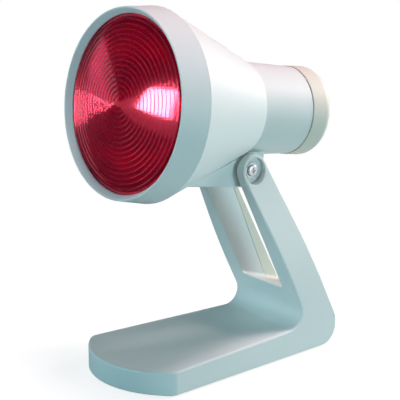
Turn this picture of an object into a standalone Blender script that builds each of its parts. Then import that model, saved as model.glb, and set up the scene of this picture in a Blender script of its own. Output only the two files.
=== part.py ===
"""A table-top infrared heat lamp: a tilting lamp head in the fork of a one-piece stand.

Metres, +Z up. The lamp faces -Y and is symmetric about the plane X = 0. The origin lies on the
table, under the middle of the stand. The head is modelled along its own axis and hangs on an
empty at the pivot, which carries the resting tilt.
"""

import math

import bmesh
import bpy
from mathutils import Matrix, Vector

# Clearances and shared small sizes
FIT_GAP = 0.0003
SEAM_GAP = 0.0004
OVERRUN = 0.010
MERGE_DISTANCE = 0.00001

# Stand: plan view
BASE_DEPTH = 0.1776
FRONT_BULGE = 0.0223
FRONT_CORNER_RADIUS = 0.0080
PLAN_TAPER_ANGLE = math.radians(5.2)

# Stand: side view
FOOT_STANDOFF = 0.0010
FRONT_HEIGHT = 0.0172
REAR_HEIGHT = 0.0192
INNER_FILLET_RADIUS = 0.0110
HEEL_BEND_RADIUS = 0.0080
HEEL_RADIUS = 0.0130
EDGE_RADIUS = 0.0015

# Stand: upright and fork
HEEL_BEND_HEIGHT = 0.02026
PIVOT_HEIGHT = 0.1360
FORK_END_RADIUS = 0.0114
FORK_FRONT_LEAN = math.radians(25.4)
FORK_REAR_LEAN = math.radians(26.9)
SIDE_LEAN_START = 0.0450
SIDE_LEAN_END = 0.0950
SIDE_LEAN_ANGLE = math.radians(9.6)
WINDOW_HALF_WIDTH = 0.0218
ARM_THICKNESS = 0.0060
WINDOW_SILL_HEIGHT = 0.0460
WINDOW_CORNER_RADIUS = 0.0025
WINDOW_SILL_FALL = math.radians(18.5)

# Stand: walls, back cover, base plate
STAND_WALL = 0.0024
COVER_WALL = 0.0022
COVER_TOP_HEIGHT = 0.1200
COVER_TOP_THICKNESS = 0.0031
COVER_PARTING_LEAN = math.radians(22.7)
PLATE_THICKNESS = 0.0024
FOOT_RADIUS = 0.0060
FOOT_RECESS = 0.0012
FOOT_INSET = 0.0130
BOSS_RADIUS = 0.0038
BOSS_INSET = 0.0110
BASE_SCREW_RADIUS = 0.0013
BASE_SCREW_HEAD_RADIUS = 0.0026
BASE_SCREW_HEAD_HEIGHT = 0.0012
BASE_SCREW_LENGTH = 0.0070
GLAND_RADIUS = 0.0038
GLAND_BORE_RADIUS = 0.0029
GLAND_FLANGE_RADIUS = 0.0052
GLAND_FLANGE_THICKNESS = 0.0010
GLAND_DEPTH = 0.0045
GLAND_HEIGHT = 0.0270

# Pivot
RECESS_RADIUS = 0.0091
RECESS_DEPTH = 0.0046
BOLT_RADIUS = 0.0024
BOLT_HEAD_RADIUS = 0.0040
BOLT_HEAD_HEIGHT = 0.0014
BOLT_CROSS_WIDTH = 0.0010
BOLT_CROSS_LENGTH = 0.0046
BOLT_CROSS_DEPTH = 0.0008
BOLT_END_REACH = 0.0006
NUT_HALF_FLATS = 0.0040
NUT_HEIGHT = 0.0022
WASHER_RADIUS = 0.0052
WASHER_THICKNESS = 0.0006
FRICTION_RADIUS = 0.0095
FRICTION_THICKNESS = 0.0010
POD_BORE_GAP = 0.0004

# Head: places along its axis, counted forward from the pivot
REST_TILT = math.radians(10.0)
AXIS_HEIGHT = 0.0381
LIP_REACH = 0.0987
BEZEL_LENGTH = 0.0218
CONE_REAR_REACH = 0.0014
NECK_LENGTH = 0.0438
CAP_LENGTH = 0.0185

# Head: lamp
LAMP_RADIUS = 0.0608
LAMP_LENGTH = 0.1360
LAMP_RIM_HEIGHT = 0.0080
GLASS_RECESS = 0.0052
GLASS_LIP_OVERLAP = 0.0018
GLASS_CROWN = 0.0078
GLASS_EDGE_STEP = 0.0022
GLASS_THICKNESS = 0.0026
GLASS_RIM_THICKNESS = 0.0032
RIB_FIELD_MARGIN = 0.0035
RIB_EYE_RADIUS = 0.0118
RIB_COUNT = 13
RIB_DEPTH = 0.0005
INSIDE_SHARES = (1, 0.75, 0.5, 0.25, 0)
BOWL_WALL = 0.0018
BOWL_NECK_RADIUS = 0.0175
BOWL_SHARES = ((0, 0.965), (0.16, 0.90), (0.34, 0.78), (0.52, 0.62), (0.68, 0.45), (0.78, 0.335))
NECK_SHARE = 0.16
SCREW_CAP_RADIUS = 0.0131
SCREW_CAP_LENGTH = 0.0235
SCREW_CAP_WALL = 0.0006
INSULATOR_HEIGHT = 0.0030
INSULATOR_END_RADIUS = 0.0060
STEM_RADIUS = 0.0050
STEM_FLARE_RADIUS = 0.0105
STEM_LENGTH = 0.0330
LEAD_RADIUS = 0.0005
LEAD_SPREAD = 0.0030
LEAD_LENGTH = 0.0200
FILAMENT_RADIUS = 0.0009
FILAMENT_SPAN = 0.0150
FILAMENT_RISE = 0.0060
TIP_RADIUS = 0.0045
TIP_HEIGHT = 0.0016

# Head: housings
BEZEL_BORE_GAP = 0.0012
BEZEL_FRONT_WALL = 0.0010
BEZEL_REAR_WALL = 0.0028
BEZEL_LIP_LAND = 0.0008
BEZEL_LIP_ROUND = 0.0004
SHADE_WALL = 0.0022
SPIGOT_WALL = 0.0016
SPIGOT_LENGTH = 0.0050
SEAT_RING_WIDTH = 0.0020
NECK_FRONT_RADIUS = 0.0318
NECK_REAR_RADIUS = 0.0301
CONE_REAR_STEP = 0.0008
CAP_STEP = 0.0005
CAP_EDGE_RADIUS = 0.0065
VENT_COUNT = 12
VENT_WIDTH = 0.0026
VENT_INNER_RADIUS = 0.0090
VENT_OUTER_RADIUS = 0.0215

# Head: lamp holder
SOCKET_RADIUS = 0.0185
SOCKET_SHOULDER_RADIUS = 0.0165
SOCKET_SHOULDER_HEIGHT = 0.0120
SOCKET_SHELL_WALL = 0.0006
SOCKET_FLOOR = 0.0040
CONTACT_RADIUS = 0.0040
CONTACT_THICKNESS = 0.0010
SHELF_THICKNESS = 0.0022
SHELF_GAP = 0.0015
BRACKET_THICKNESS = 0.0012
BRACKET_HALF_WIDTH = 0.0070
BRACKET_SCREW_RADIUS = 0.0013
BRACKET_SCREW_HEAD_RADIUS = 0.0024
BRACKET_SCREW_HEAD_HEIGHT = 0.0014

# Head: pivot pod
POD_DROP = 0.0125
POD_FRONT_REACH = 0.0500
POD_WALL = 0.0024
POD_BOSS_RADIUS = 0.0075
POD_EDGE_RADIUS = 0.0010

# Counts of facets
ROUND_STEPS = 48
LAMP_STEPS = 32
SMALL_STEPS = 20
SCREW_STEPS = 12
VENT_END_STEPS = 3
ARC_STEPS = 5
LEAN_STEPS = 3
BEVEL_STEPS = 2
SHARP_ANGLE = math.radians(30.0)
FLAT_ANGLE = math.radians(0.1)

# Colours, as base colour, roughness and metallic value
WHITE_PLASTIC = ((0.80, 0.84, 0.84), 0.42, 0.0)
IVORY_PLASTIC = ((0.82, 0.79, 0.69), 0.48, 0.0)
GREY_PLASTIC = ((0.55, 0.58, 0.57), 0.55, 0.0)
RED_GLASS = ((0.55, 0.01, 0.06), 0.12, 0.0)
SILVERED_GLASS = ((0.75, 0.75, 0.74), 0.15, 0.9)
BRIGHT_STEEL = ((0.70, 0.70, 0.69), 0.25, 1.0)
NICKEL = ((0.66, 0.62, 0.54), 0.30, 1.0)
BLACK_GLASS = ((0.03, 0.03, 0.03), 0.20, 0.0)
CERAMIC = ((0.86, 0.84, 0.78), 0.35, 0.0)
RUBBER = ((0.06, 0.06, 0.06), 0.80, 0.0)
NYLON = ((0.12, 0.13, 0.13), 0.50, 0.0)
CLEAR_GLASS = ((0.80, 0.84, 0.82), 0.05, 0.0)
TUNGSTEN = ((0.35, 0.34, 0.33), 0.40, 1.0)


# Stand: places worked out from the driving sizes
base_front = -BASE_DEPTH / 2
base_rear = BASE_DEPTH / 2
plate_rear = base_rear - HEEL_RADIUS
front_corner_y = base_front + FRONT_BULGE
pivot_to_heel = (
    FORK_END_RADIUS / math.cos(FORK_REAR_LEAN)
    + (PIVOT_HEIGHT - HEEL_BEND_HEIGHT) * math.tan(FORK_REAR_LEAN))
pivot = Vector((0, base_rear - pivot_to_heel, PIVOT_HEIGHT))
base_slope = (REAR_HEIGHT - FRONT_HEIGHT) / (pivot.y - base_front)


def side_lean(z):
    """How far the stand's sides have come in at a height: a soft bend, then a straight lean."""
    slope = math.tan(SIDE_LEAN_ANGLE)
    ramp = SIDE_LEAN_END - SIDE_LEAN_START
    if z <= SIDE_LEAN_START:
        return 0
    if z < SIDE_LEAN_END:
        return slope * (z - SIDE_LEAN_START) ** 2 / (2 * ramp)
    return slope * (z - SIDE_LEAN_START - ramp / 2)


def half_width_at(y, z):
    """Half of the stand's width at a place on its side face."""
    return front_half_width - math.tan(PLAN_TAPER_ANGLE) * (y - front_corner_y) - side_lean(z)


arm_outside = WINDOW_HALF_WIDTH + ARM_THICKNESS
front_half_width = (
    arm_outside + math.tan(PLAN_TAPER_ANGLE) * (pivot.y - front_corner_y) + side_lean(pivot.z))
bulge_radius = (front_half_width ** 2 + FRONT_BULGE ** 2) / (2 * FRONT_BULGE)

# Head: places along its axis and radii worked out from the driving sizes
visible_radius = LAMP_RADIUS - GLASS_LIP_OVERLAP
rib_field_radius = visible_radius - RIB_FIELD_MARGIN
glass_reach = LIP_REACH - GLASS_RECESS
crown_reach = glass_reach + GLASS_CROWN
bezel_seam = LIP_REACH - BEZEL_LENGTH
bezel_bore = LAMP_RADIUS + BEZEL_BORE_GAP
bezel_front_radius = bezel_bore + BEZEL_FRONT_WALL
bezel_rear_radius = bezel_bore + BEZEL_REAR_WALL
cone_front_radius = bezel_rear_radius - SEAM_GAP
cone_rear_radius = NECK_FRONT_RADIUS + CONE_REAR_STEP
neck_front = CONE_REAR_REACH - FIT_GAP
neck_rear = CONE_REAR_REACH - NECK_LENGTH
cap_front = neck_rear - SEAM_GAP
cap_rear = neck_rear - CAP_LENGTH
cap_radius = NECK_REAR_RADIUS + CAP_STEP
spigot_outer = bezel_bore - FIT_GAP
spigot_inner = spigot_outer - SPIGOT_WALL
spigot_front = bezel_seam + SPIGOT_LENGTH
lamp_rear = crown_reach - LAMP_LENGTH
screw_cap_rear = lamp_rear + TIP_HEIGHT + INSULATOR_HEIGHT
screw_cap_front = screw_cap_rear + SCREW_CAP_LENGTH
socket_bore = SCREW_CAP_RADIUS + FIT_GAP + SOCKET_SHELL_WALL + FIT_GAP
socket_floor = lamp_rear - FIT_GAP - CONTACT_THICKNESS - FIT_GAP
socket_rear = socket_floor - SOCKET_FLOOR
bracket_front = socket_rear - FIT_GAP
bracket_rear = bracket_front - BRACKET_THICKNESS
shelf_inner = SOCKET_RADIUS + SHELF_GAP
pod_half_width = WINDOW_HALF_WIDTH - FIT_GAP - FRICTION_THICKNESS - FIT_GAP


# Modelling helpers

def clear_scene():
    for thing in list(bpy.data.objects):
        bpy.data.objects.remove(thing)


def new_collection(name):
    collection = bpy.data.collections.new(name)
    bpy.context.scene.collection.children.link(collection)
    return collection


def new_material(name, look):
    colour, roughness, metallic = look
    material = bpy.data.materials.new(name)
    material.use_nodes = True
    shader = material.node_tree.nodes["Principled BSDF"]
    shader.inputs["Base Color"].default_value = (*colour, 1)
    shader.inputs["Roughness"].default_value = roughness
    shader.inputs["Metallic"].default_value = metallic
    return material


def new_object(name, data):
    thing = bpy.data.objects.new(name, data)
    parts.objects.link(thing)
    return thing


def finish(thing, look, parent=None):
    """Give a part its material and hang it on its parent."""
    thing.data.materials.clear()
    thing.data.materials.append(new_material(thing.name, look))
    thing.parent = parent
    return thing


def as_cutter(thing, parent=None):
    """Keep a helper solid out of the model and show it as wires."""
    parts.objects.unlink(thing)
    cutters.objects.link(thing)
    thing.hide_render = True
    thing.display_type = "WIRE"
    thing.parent = parent
    return thing


def combine(thing, other, operation):
    """Join, intersect or cut an object with another solid, as a live modifier."""
    boolean = thing.modifiers.new(operation.title(), "BOOLEAN")
    boolean.operation = operation
    boolean.solver = "EXACT"
    boolean.object = other


def cut(thing, cutter):
    combine(thing, cutter, "DIFFERENCE")


def weld(thing):
    """Join points that lie closer together than the shared merge distance."""
    joining = thing.modifiers.new("Weld", "WELD")
    joining.merge_threshold = MERGE_DISTANCE


def bevel(thing, width):
    """Round every edge that is sharp, with stray close points joined before and after."""
    weld(thing)
    rounding = thing.modifiers.new("Bevel", "BEVEL")
    rounding.width = width
    rounding.segments = BEVEL_STEPS
    rounding.limit_method = "ANGLE"
    rounding.angle_limit = SHARP_ANGLE
    weld(thing)


def bake(thing):
    """Turn an object's modifiers or curve into a plain mesh, welded and with clean flat faces."""
    evaluated = thing.evaluated_get(bpy.context.evaluated_depsgraph_get())
    mesh = bpy.data.meshes.new_from_object(evaluated)
    shape = bmesh.new()
    shape.from_mesh(mesh)
    bmesh.ops.remove_doubles(shape, verts=shape.verts, dist=MERGE_DISTANCE)
    bmesh.ops.dissolve_limit(
        shape, angle_limit=FLAT_ANGLE, verts=shape.verts, edges=shape.edges)
    bmesh.ops.recalc_face_normals(shape, faces=shape.faces)
    shape.to_mesh(mesh)
    shape.free()
    name = thing.name
    placed = thing.matrix_world.copy()
    bpy.data.objects.remove(thing)
    mesh.name = name
    baked = new_object(name, mesh)
    baked.matrix_world = placed
    return baked


def rounded(corners):
    """An outline through corners of (a, b, radius), with each corner turned into an arc."""
    outline = []
    count = len(corners)
    for index, (a, b, radius) in enumerate(corners):
        corner = Vector((a, b))
        if radius == 0:
            outline.append(corner)
            continue
        before = (Vector(corners[index - 1][:2]) - corner).normalized()
        after = (Vector(corners[(index + 1) % count][:2]) - corner).normalized()
        half_angle = before.angle(after) / 2
        start = corner + before * (radius / math.tan(half_angle))
        centre = corner + (before + after).normalized() * (radius / math.sin(half_angle))
        sweep = before.angle(after) - math.pi
        turn = sweep if before.cross(after) > 0 else -sweep
        arm = start - centre
        for step in range(ARC_STEPS + 1):
            outline.append(centre + Matrix.Rotation(turn * step / ARC_STEPS, 2) @ arm)
    return outline


def arc(centre, radius, start, end, steps):
    """Points along an arc from one angle to another, both ends included."""
    return [
        Vector((
            centre[0] + radius * math.cos(start + (end - start) * step / steps),
            centre[1] + radius * math.sin(start + (end - start) * step / steps),
        ))
        for step in range(steps + 1)
    ]


def circle(radius, steps=SMALL_STEPS, centre=(0, 0)):
    """Points round a full circle, without repeating the first."""
    return arc(centre, radius, 0, math.tau, steps)[:-1]


def slab(name, outlines, thickness):
    """A flat outline with its holes, in the XY plane, given half its thickness either side."""
    curve = bpy.data.curves.new(name, "CURVE")
    curve.dimensions = "2D"
    curve.fill_mode = "BOTH"
    curve.extrude = thickness / 2
    for outline in outlines:
        spline = curve.splines.new("POLY")
        spline.points.add(len(outline) - 1)
        for point, place in zip(spline.points, outline):
            point.co = (place[0], place[1], 0, 1)
        spline.use_cyclic_u = True
    return bake(new_object(name, curve))


def side_slab(name, outlines, half_width):
    """A slab drawn in the side view, with its thickness across X."""
    solid = slab(name, outlines, 2 * half_width)
    solid.rotation_euler = (math.pi / 2, 0, math.pi / 2)
    return solid


def turned(name, profile, steps=ROUND_STEPS, closed=True):
    """A profile of (radius, height) turned about Z, running down its outer side."""
    edges = [(index, index + 1) for index in range(len(profile) - 1)]
    if closed:
        edges.append((len(profile) - 1, 0))
    mesh = bpy.data.meshes.new(name)
    mesh.from_pydata([(radius, 0, height) for radius, height in profile], edges, [])
    screw = new_object(name, mesh).modifiers.new("Turn", "SCREW")
    screw.angle = math.tau
    screw.steps = steps
    screw.render_steps = steps
    screw.use_merge_vertices = True
    screw.merge_threshold = MERGE_DISTANCE
    solid = bake(screw.id_data)
    solid.data.shade_smooth()
    solid.data.set_sharp_from_angle(angle=SHARP_ANGLE)
    return solid


def rod(name, radius, low, high, steps=SMALL_STEPS):
    """A solid round rod about Z between two heights."""
    return turned(name, [(0, high), (radius, high), (radius, low), (0, low)], steps, closed=False)


def tube(name, outer, inner, low, high, steps=SMALL_STEPS):
    """A round tube about Z between two heights."""
    return turned(name, [(outer, high), (outer, low), (inner, low), (inner, high)], steps)


def wire(name, places, radius):
    """A round wire with closed ends along a line of places."""
    curve = bpy.data.curves.new(name, "CURVE")
    curve.dimensions = "3D"
    curve.bevel_depth = radius
    curve.bevel_resolution = 2
    curve.use_fill_caps = True
    spline = curve.splines.new("POLY")
    spline.points.add(len(places) - 1)
    for point, place in zip(spline.points, places):
        point.co = (*place, 1)
    return bake(new_object(name, curve))


def merge_copies(name, solid, matrices):
    """One object holding a copy of a solid's mesh at each place, as separate bodies."""
    shape = bmesh.new()
    for matrix in matrices:
        copy = solid.data.copy()
        copy.transform(matrix)
        shape.from_mesh(copy)
        bpy.data.meshes.remove(copy)
    mesh = bpy.data.meshes.new(name)
    shape.to_mesh(mesh)
    shape.free()
    bpy.data.objects.remove(solid)
    return new_object(name, mesh)


def spread_copies(screw, name, places, parent=None):
    """Bright steel screws that share one mesh, each its own object at its own place."""
    for number, place in enumerate(places, 1):
        copy = finish(new_object(f"{name}_{number}", screw.data), BRIGHT_STEEL, parent)
        copy.matrix_local = place
    bpy.data.objects.remove(screw)


# Stand: outlines

def base_top(y):
    """Height of the base's top face, which rises slightly to the rear."""
    return FRONT_HEIGHT + base_slope * (y - base_front)


def front_line(z, inset=0):
    """Y of the upright's front face at a height."""
    return pivot.y - ((FORK_END_RADIUS - inset) / math.cos(FORK_FRONT_LEAN)
                      + (z - pivot.z) * math.tan(FORK_FRONT_LEAN))


def rear_line(z, inset=0):
    """Y of the upright's rear face at a height."""
    return pivot.y + ((FORK_END_RADIUS - inset) / math.cos(FORK_REAR_LEAN)
                      - (z - pivot.z) * math.tan(FORK_REAR_LEAN))


def parting_line(z, inset=0):
    """Y of the line in the side view where the back cover meets the shell."""
    top = rear_line(COVER_TOP_HEIGHT, COVER_TOP_THICKNESS)
    return top + (COVER_TOP_HEIGHT - z) * math.tan(COVER_PARTING_LEAN) + inset


def crotch(drop=0, inset=0):
    """Where the base's top face, lowered, meets the upright's front face, set back."""
    lean = math.tan(FORK_FRONT_LEAN)
    level = FRONT_HEIGHT - drop
    z = (level + base_slope * (front_line(0, inset) - base_front)) / (1 + base_slope * lean)
    return front_line(z, inset), z


def stand_side_outline():
    """The stand's whole outline in the side view: rounded fork end, upright, base and heel."""
    fork_end = arc(
        (pivot.y, pivot.z), FORK_END_RADIUS, FORK_REAR_LEAN, math.pi + FORK_FRONT_LEAN,
        2 * ARC_STEPS)
    lower = rounded([
        (front_line(pivot.z), pivot.z, 0),
        (*crotch(), INNER_FILLET_RADIUS),
        (base_front, base_top(base_front), 0),
        (base_front, FOOT_STANDOFF, 0),
        (base_rear, FOOT_STANDOFF, HEEL_RADIUS),
        (base_rear, HEEL_BEND_HEIGHT, HEEL_BEND_RADIUS),
        (rear_line(pivot.z), pivot.z, 0),
    ])
    return fork_end + lower[1:-1]


def plan_outline(inset, rear_y):
    """Half of the base's plan view at X > 0, closed across the middle, front arc to rear edge."""
    half_width = front_half_width - inset
    arc_centre = base_front + bulge_radius
    front_radius = bulge_radius - inset
    corner_y = arc_centre - math.sqrt(front_radius ** 2 - half_width ** 2)
    rear_half_width = half_width - math.tan(PLAN_TAPER_ANGLE) * (rear_y - corner_y)
    sweep = math.asin(half_width / front_radius)
    start = -math.pi / 2 + sweep
    front = arc((0, arc_centre), front_radius, -math.pi / 2, start, 2 * ARC_STEPS)
    corner = Vector((half_width, corner_y))
    before = (front[-2] - corner).normalized()
    after = Vector((-math.tan(PLAN_TAPER_ANGLE), 1)).normalized()
    radius = FRONT_CORNER_RADIUS - inset
    reach = radius / math.tan(before.angle(after) / 2)
    kept = [point for point in front if (point - corner).length > reach]
    ahead = corner + (kept[-1] - corner).normalized() * (2 * reach)
    turned_corner = rounded([(*ahead, 0), (*corner, radius), (rear_half_width, rear_y, 0)])
    middle = -OVERRUN
    return [Vector((middle, kept[0].y))] + kept + turned_corner[1:] + [Vector((middle, rear_y))]


def plan_solid(name, inset, low, high, rear_y=base_rear):
    """The plan view drawn up between two heights, with its sides leaning in, both halves."""
    solid = slab(name, [plan_outline(inset, rear_y)], high - low)
    solid.data.transform(Matrix.Translation((0, 0, (low + high) / 2)))
    shape = bmesh.new()
    shape.from_mesh(solid.data)
    ramp = SIDE_LEAN_END - SIDE_LEAN_START
    for step in range(LEAN_STEPS + 1):
        level = SIDE_LEAN_START + ramp * step / LEAN_STEPS
        if low < level < high:
            bmesh.ops.bisect_plane(
                shape, geom=shape.verts[:] + shape.edges[:] + shape.faces[:],
                plane_co=(0, 0, level), plane_no=(0, 0, 1), dist=MERGE_DISTANCE)
    for vertex in shape.verts:
        if vertex.co.x > 0:
            vertex.co.x -= side_lean(vertex.co.z)
    shape.to_mesh(solid.data)
    shape.free()
    mirror = solid.modifiers.new("Mirror", "MIRROR")
    mirror.use_bisect_axis[0] = True
    mirror.use_clip = True
    mirror.merge_threshold = MERGE_DISTANCE
    return bake(solid)


def sill_fall(y):
    """How far the window's sill has fallen at a place behind its front edge."""
    return math.tan(WINDOW_SILL_FALL) * (y - front_line(WINDOW_SILL_HEIGHT))


def under_sill(y, thickness):
    """Height of the underside of the window's sill wall."""
    return WINDOW_SILL_HEIGHT - sill_fall(y) - thickness / math.cos(WINDOW_SILL_FALL)


def sill_end(thickness):
    """Where the underside of the window's sill wall meets the parting line."""
    fall = math.tan(WINDOW_SILL_FALL)
    lean = math.tan(COVER_PARTING_LEAN)
    z = under_sill(parting_line(0), thickness) / (1 - fall * lean)
    return parting_line(z), z


def window_cutter(name):
    """The opening between the fork's arms, seen from the front, open at the top."""
    top = pivot.z + FORK_END_RADIUS + OVERRUN
    outline = rounded([
        (-WINDOW_HALF_WIDTH, top, 0),
        (-WINDOW_HALF_WIDTH, WINDOW_SILL_HEIGHT, WINDOW_CORNER_RADIUS),
        (WINDOW_HALF_WIDTH, WINDOW_SILL_HEIGHT, WINDOW_CORNER_RADIUS),
        (WINDOW_HALF_WIDTH, top, 0),
    ])
    solid = slab(name, [outline], BASE_DEPTH + 2 * OVERRUN)
    solid.data.transform(Matrix.Rotation(math.pi / 2, 4, "X"))
    for vertex in solid.data.vertices:
        if vertex.co.z < top - OVERRUN:
            vertex.co.z -= sill_fall(vertex.co.y)
    return as_cutter(solid)


def hollow_outline():
    """The hollow inside the stand, open below and behind, in the side view."""
    sill_y = front_line(WINDOW_SILL_HEIGHT)
    ceiling_front = front_line(under_sill(sill_y, STAND_WALL), STAND_WALL)
    heel = arc(
        (plate_rear, FOOT_STANDOFF + HEEL_RADIUS), HEEL_RADIUS - STAND_WALL, 0, -math.pi / 2,
        ARC_STEPS)
    return [
        Vector((base_front + STAND_WALL, FOOT_STANDOFF - OVERRUN)),
        Vector((base_front + STAND_WALL, base_top(base_front) - STAND_WALL)),
        Vector(crotch(STAND_WALL, STAND_WALL)),
        Vector((ceiling_front, under_sill(ceiling_front, STAND_WALL))),
        Vector(sill_end(STAND_WALL)),
        Vector((parting_line(COVER_TOP_HEIGHT), COVER_TOP_HEIGHT)),
        Vector((rear_line(COVER_TOP_HEIGHT) + OVERRUN, COVER_TOP_HEIGHT)),
        Vector((base_rear + OVERRUN, HEEL_BEND_HEIGHT)),
        Vector((base_rear - STAND_WALL, HEEL_BEND_HEIGHT)),
    ] + heel + [Vector((plate_rear, FOOT_STANDOFF - OVERRUN))]


def foot_places():
    """The plan places of the four feet, front pair first."""
    front_y = front_corner_y + FOOT_INSET
    rear_y = plate_rear - FOOT_INSET
    return [
        Vector((side * (half_width_at(y, 0) - FOOT_INSET), y, 0))
        for y in (front_y, rear_y)
        for side in (-1, 1)
    ]


def boss_places():
    """The plan places of the screw bosses, a little inboard of the feet."""
    shift = FOOT_RADIUS + BOSS_RADIUS + BOSS_INSET
    return [
        Vector((place.x, place.y + (shift if index < 2 else -shift), 0))
        for index, place in enumerate(foot_places())
    ]


# Stand: pieces

def build_stand_shell():
    """The foot, upright and fork in one hollow shell, open below and behind."""
    shell = side_slab("stand_shell", [stand_side_outline()], 2 * front_half_width)
    top = pivot.z + FORK_END_RADIUS + OVERRUN
    envelope = as_cutter(plan_solid("stand_envelope", 0, FOOT_STANDOFF - OVERRUN, top))
    combine(shell, envelope, "INTERSECT")
    bevel(shell, EDGE_RADIUS)
    hollow = side_slab("stand_hollow", [hollow_outline()], 2 * front_half_width)
    low = FOOT_STANDOFF
    room = as_cutter(plan_solid("stand_room", STAND_WALL, low - 2 * OVERRUN, top))
    combine(hollow, room, "INTERSECT")
    bosses = merge_copies(
        "stand_bosses",
        rod("boss", BOSS_RADIUS, low + PLATE_THICKNESS + FIT_GAP, REAR_HEIGHT, SCREW_STEPS),
        [Matrix.Translation(place) for place in boss_places()])
    combine(hollow, as_cutter(bosses), "DIFFERENCE")
    cut(shell, as_cutter(hollow))
    cut(shell, window_cutter("stand_window"))
    screw_bore = BASE_SCREW_RADIUS + FIT_GAP
    pilots = merge_copies(
        "stand_pilots",
        rod("pilot", screw_bore, low, low + FIT_GAP + BASE_SCREW_LENGTH, SCREW_STEPS),
        [Matrix.Translation(place) for place in boss_places()])
    cut(shell, as_cutter(pilots))
    cut(shell, pivot_bore("stand_bolt_bore", BOLT_RADIUS + FIT_GAP, 2 * front_half_width))
    for side in (-1, 1):
        recess = rod("stand_recess", RECESS_RADIUS, recess_seat(), 2 * front_half_width)
        recess.rotation_euler = (0, side * math.pi / 2, 0)
        recess.location = pivot
        cut(shell, as_cutter(recess))
    return finish(shell, WHITE_PLASTIC)


def recess_seat():
    """X of the recess floors, on which the bolt's washer and the nut's washer lie."""
    return arm_outside - RECESS_DEPTH


def pivot_bore(name, radius, half_length):
    """A cutter along the pivot's axis, through both arms."""
    bore = rod(name, radius, -half_length, half_length)
    bore.rotation_euler = (0, math.pi / 2, 0)
    bore.location = pivot
    return as_cutter(bore)


def build_back_cover():
    """The wedge behind the parting line, between the side walls, down to the heel."""
    bend = HEEL_BEND_HEIGHT + FIT_GAP
    top = COVER_TOP_HEIGHT - FIT_GAP
    width = 2 * front_half_width
    parting = FIT_GAP / math.cos(COVER_PARTING_LEAN)
    cover = side_slab("back_cover", [[
        Vector((parting_line(bend, parting), bend)),
        Vector((base_rear + OVERRUN, bend)),
        Vector((base_rear + OVERRUN, top)),
        Vector((parting_line(top, parting), top)),
    ]], width)
    outside = as_cutter(side_slab("cover_outside", [stand_side_outline()], 2 * width))
    combine(cover, outside, "INTERSECT")
    room = as_cutter(plan_solid("cover_room", STAND_WALL + FIT_GAP, 0, top + OVERRUN))
    combine(cover, room, "INTERSECT")
    cut(cover, window_cutter("cover_window"))

    low = bend - OVERRUN
    front_y = parting_line(bend)
    panel_y = rear_line(WINDOW_SILL_HEIGHT, COVER_WALL)
    inside = side_slab("cover_hollow", [[
        Vector((front_y - OVERRUN, low)),
        Vector((rear_line(low, COVER_WALL), low)),
        Vector((panel_y, WINDOW_SILL_HEIGHT)),
        Vector((front_y - OVERRUN, WINDOW_SILL_HEIGHT)),
    ]], width)
    ceiling = side_slab("cover_ceiling", [[
        Vector((y, height))
        for y, height in (
            (0, under_sill(0, COVER_WALL)),
            (0, -OVERRUN),
            (BASE_DEPTH, -OVERRUN),
            (BASE_DEPTH, under_sill(BASE_DEPTH, COVER_WALL)),
        )
    ]], width)
    combine(inside, as_cutter(ceiling), "INTERSECT")
    inner_room = plan_solid("cover_inner_room", STAND_WALL + FIT_GAP + COVER_WALL, 0, top)
    combine(inside, as_cutter(inner_room), "INTERSECT")
    cut(cover, as_cutter(inside))
    hole = rod("gland_hole", GLAND_RADIUS + FIT_GAP, -GLAND_DEPTH, OVERRUN)
    cut(cover, as_cutter(in_cover(hole)))
    return finish(cover, IVORY_PLASTIC)


def in_cover(thing):
    """Set a piece that was turned about Z square on the back cover, its top toward the rear."""
    thing.rotation_euler = (FORK_REAR_LEAN - math.pi / 2, 0, 0)
    thing.location = (0, rear_line(GLAND_HEIGHT), GLAND_HEIGHT)
    return thing


def build_cord_gland():
    """The sleeve at the cord's inlet, with a flange that lies on the back cover."""
    flange_low = FIT_GAP
    flange_high = flange_low + GLAND_FLANGE_THICKNESS
    gland = in_cover(turned("cord_gland", [
        (GLAND_FLANGE_RADIUS, flange_high),
        (GLAND_FLANGE_RADIUS, flange_low),
        (GLAND_RADIUS, flange_low),
        (GLAND_RADIUS, -GLAND_DEPTH),
        (GLAND_BORE_RADIUS, -GLAND_DEPTH),
        (GLAND_BORE_RADIUS, flange_high),
    ], SMALL_STEPS))
    return finish(gland, RUBBER)


def build_base_plate():
    """The plate that closes the base from below, with seats for the feet and the screw heads."""
    low = FOOT_STANDOFF
    plate = plan_solid(
        "base_plate", STAND_WALL + FIT_GAP, low, low + PLATE_THICKNESS, plate_rear - FIT_GAP)
    recesses = merge_copies(
        "foot_recesses",
        rod("recess", FOOT_RADIUS + FIT_GAP, low - OVERRUN, low + FOOT_RECESS),
        [Matrix.Translation(place) for place in foot_places()])
    cut(plate, as_cutter(recesses))
    holes = merge_copies(
        "plate_holes",
        turned("hole", [
            (0, low + PLATE_THICKNESS + OVERRUN),
            (BASE_SCREW_RADIUS + FIT_GAP, low + PLATE_THICKNESS + OVERRUN),
            (BASE_SCREW_RADIUS + FIT_GAP, low + BASE_SCREW_HEAD_HEIGHT),
            (BASE_SCREW_HEAD_RADIUS + FIT_GAP, low + BASE_SCREW_HEAD_HEIGHT),
            (BASE_SCREW_HEAD_RADIUS + FIT_GAP, low - OVERRUN),
            (0, low - OVERRUN),
        ], SCREW_STEPS, closed=False),
        [Matrix.Translation(place) for place in boss_places()])
    cut(plate, as_cutter(holes))
    return finish(plate, GREY_PLASTIC)


def build_feet():
    """The four round feet, each set into its recess in the base plate."""
    names = ("foot_front_left", "foot_front_right", "foot_rear_left", "foot_rear_right")
    for name, place in zip(names, foot_places()):
        foot = rod(name, FOOT_RADIUS, 0, FOOT_STANDOFF + FOOT_RECESS - FIT_GAP)
        foot.location = place
        finish(foot, RUBBER)


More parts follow.
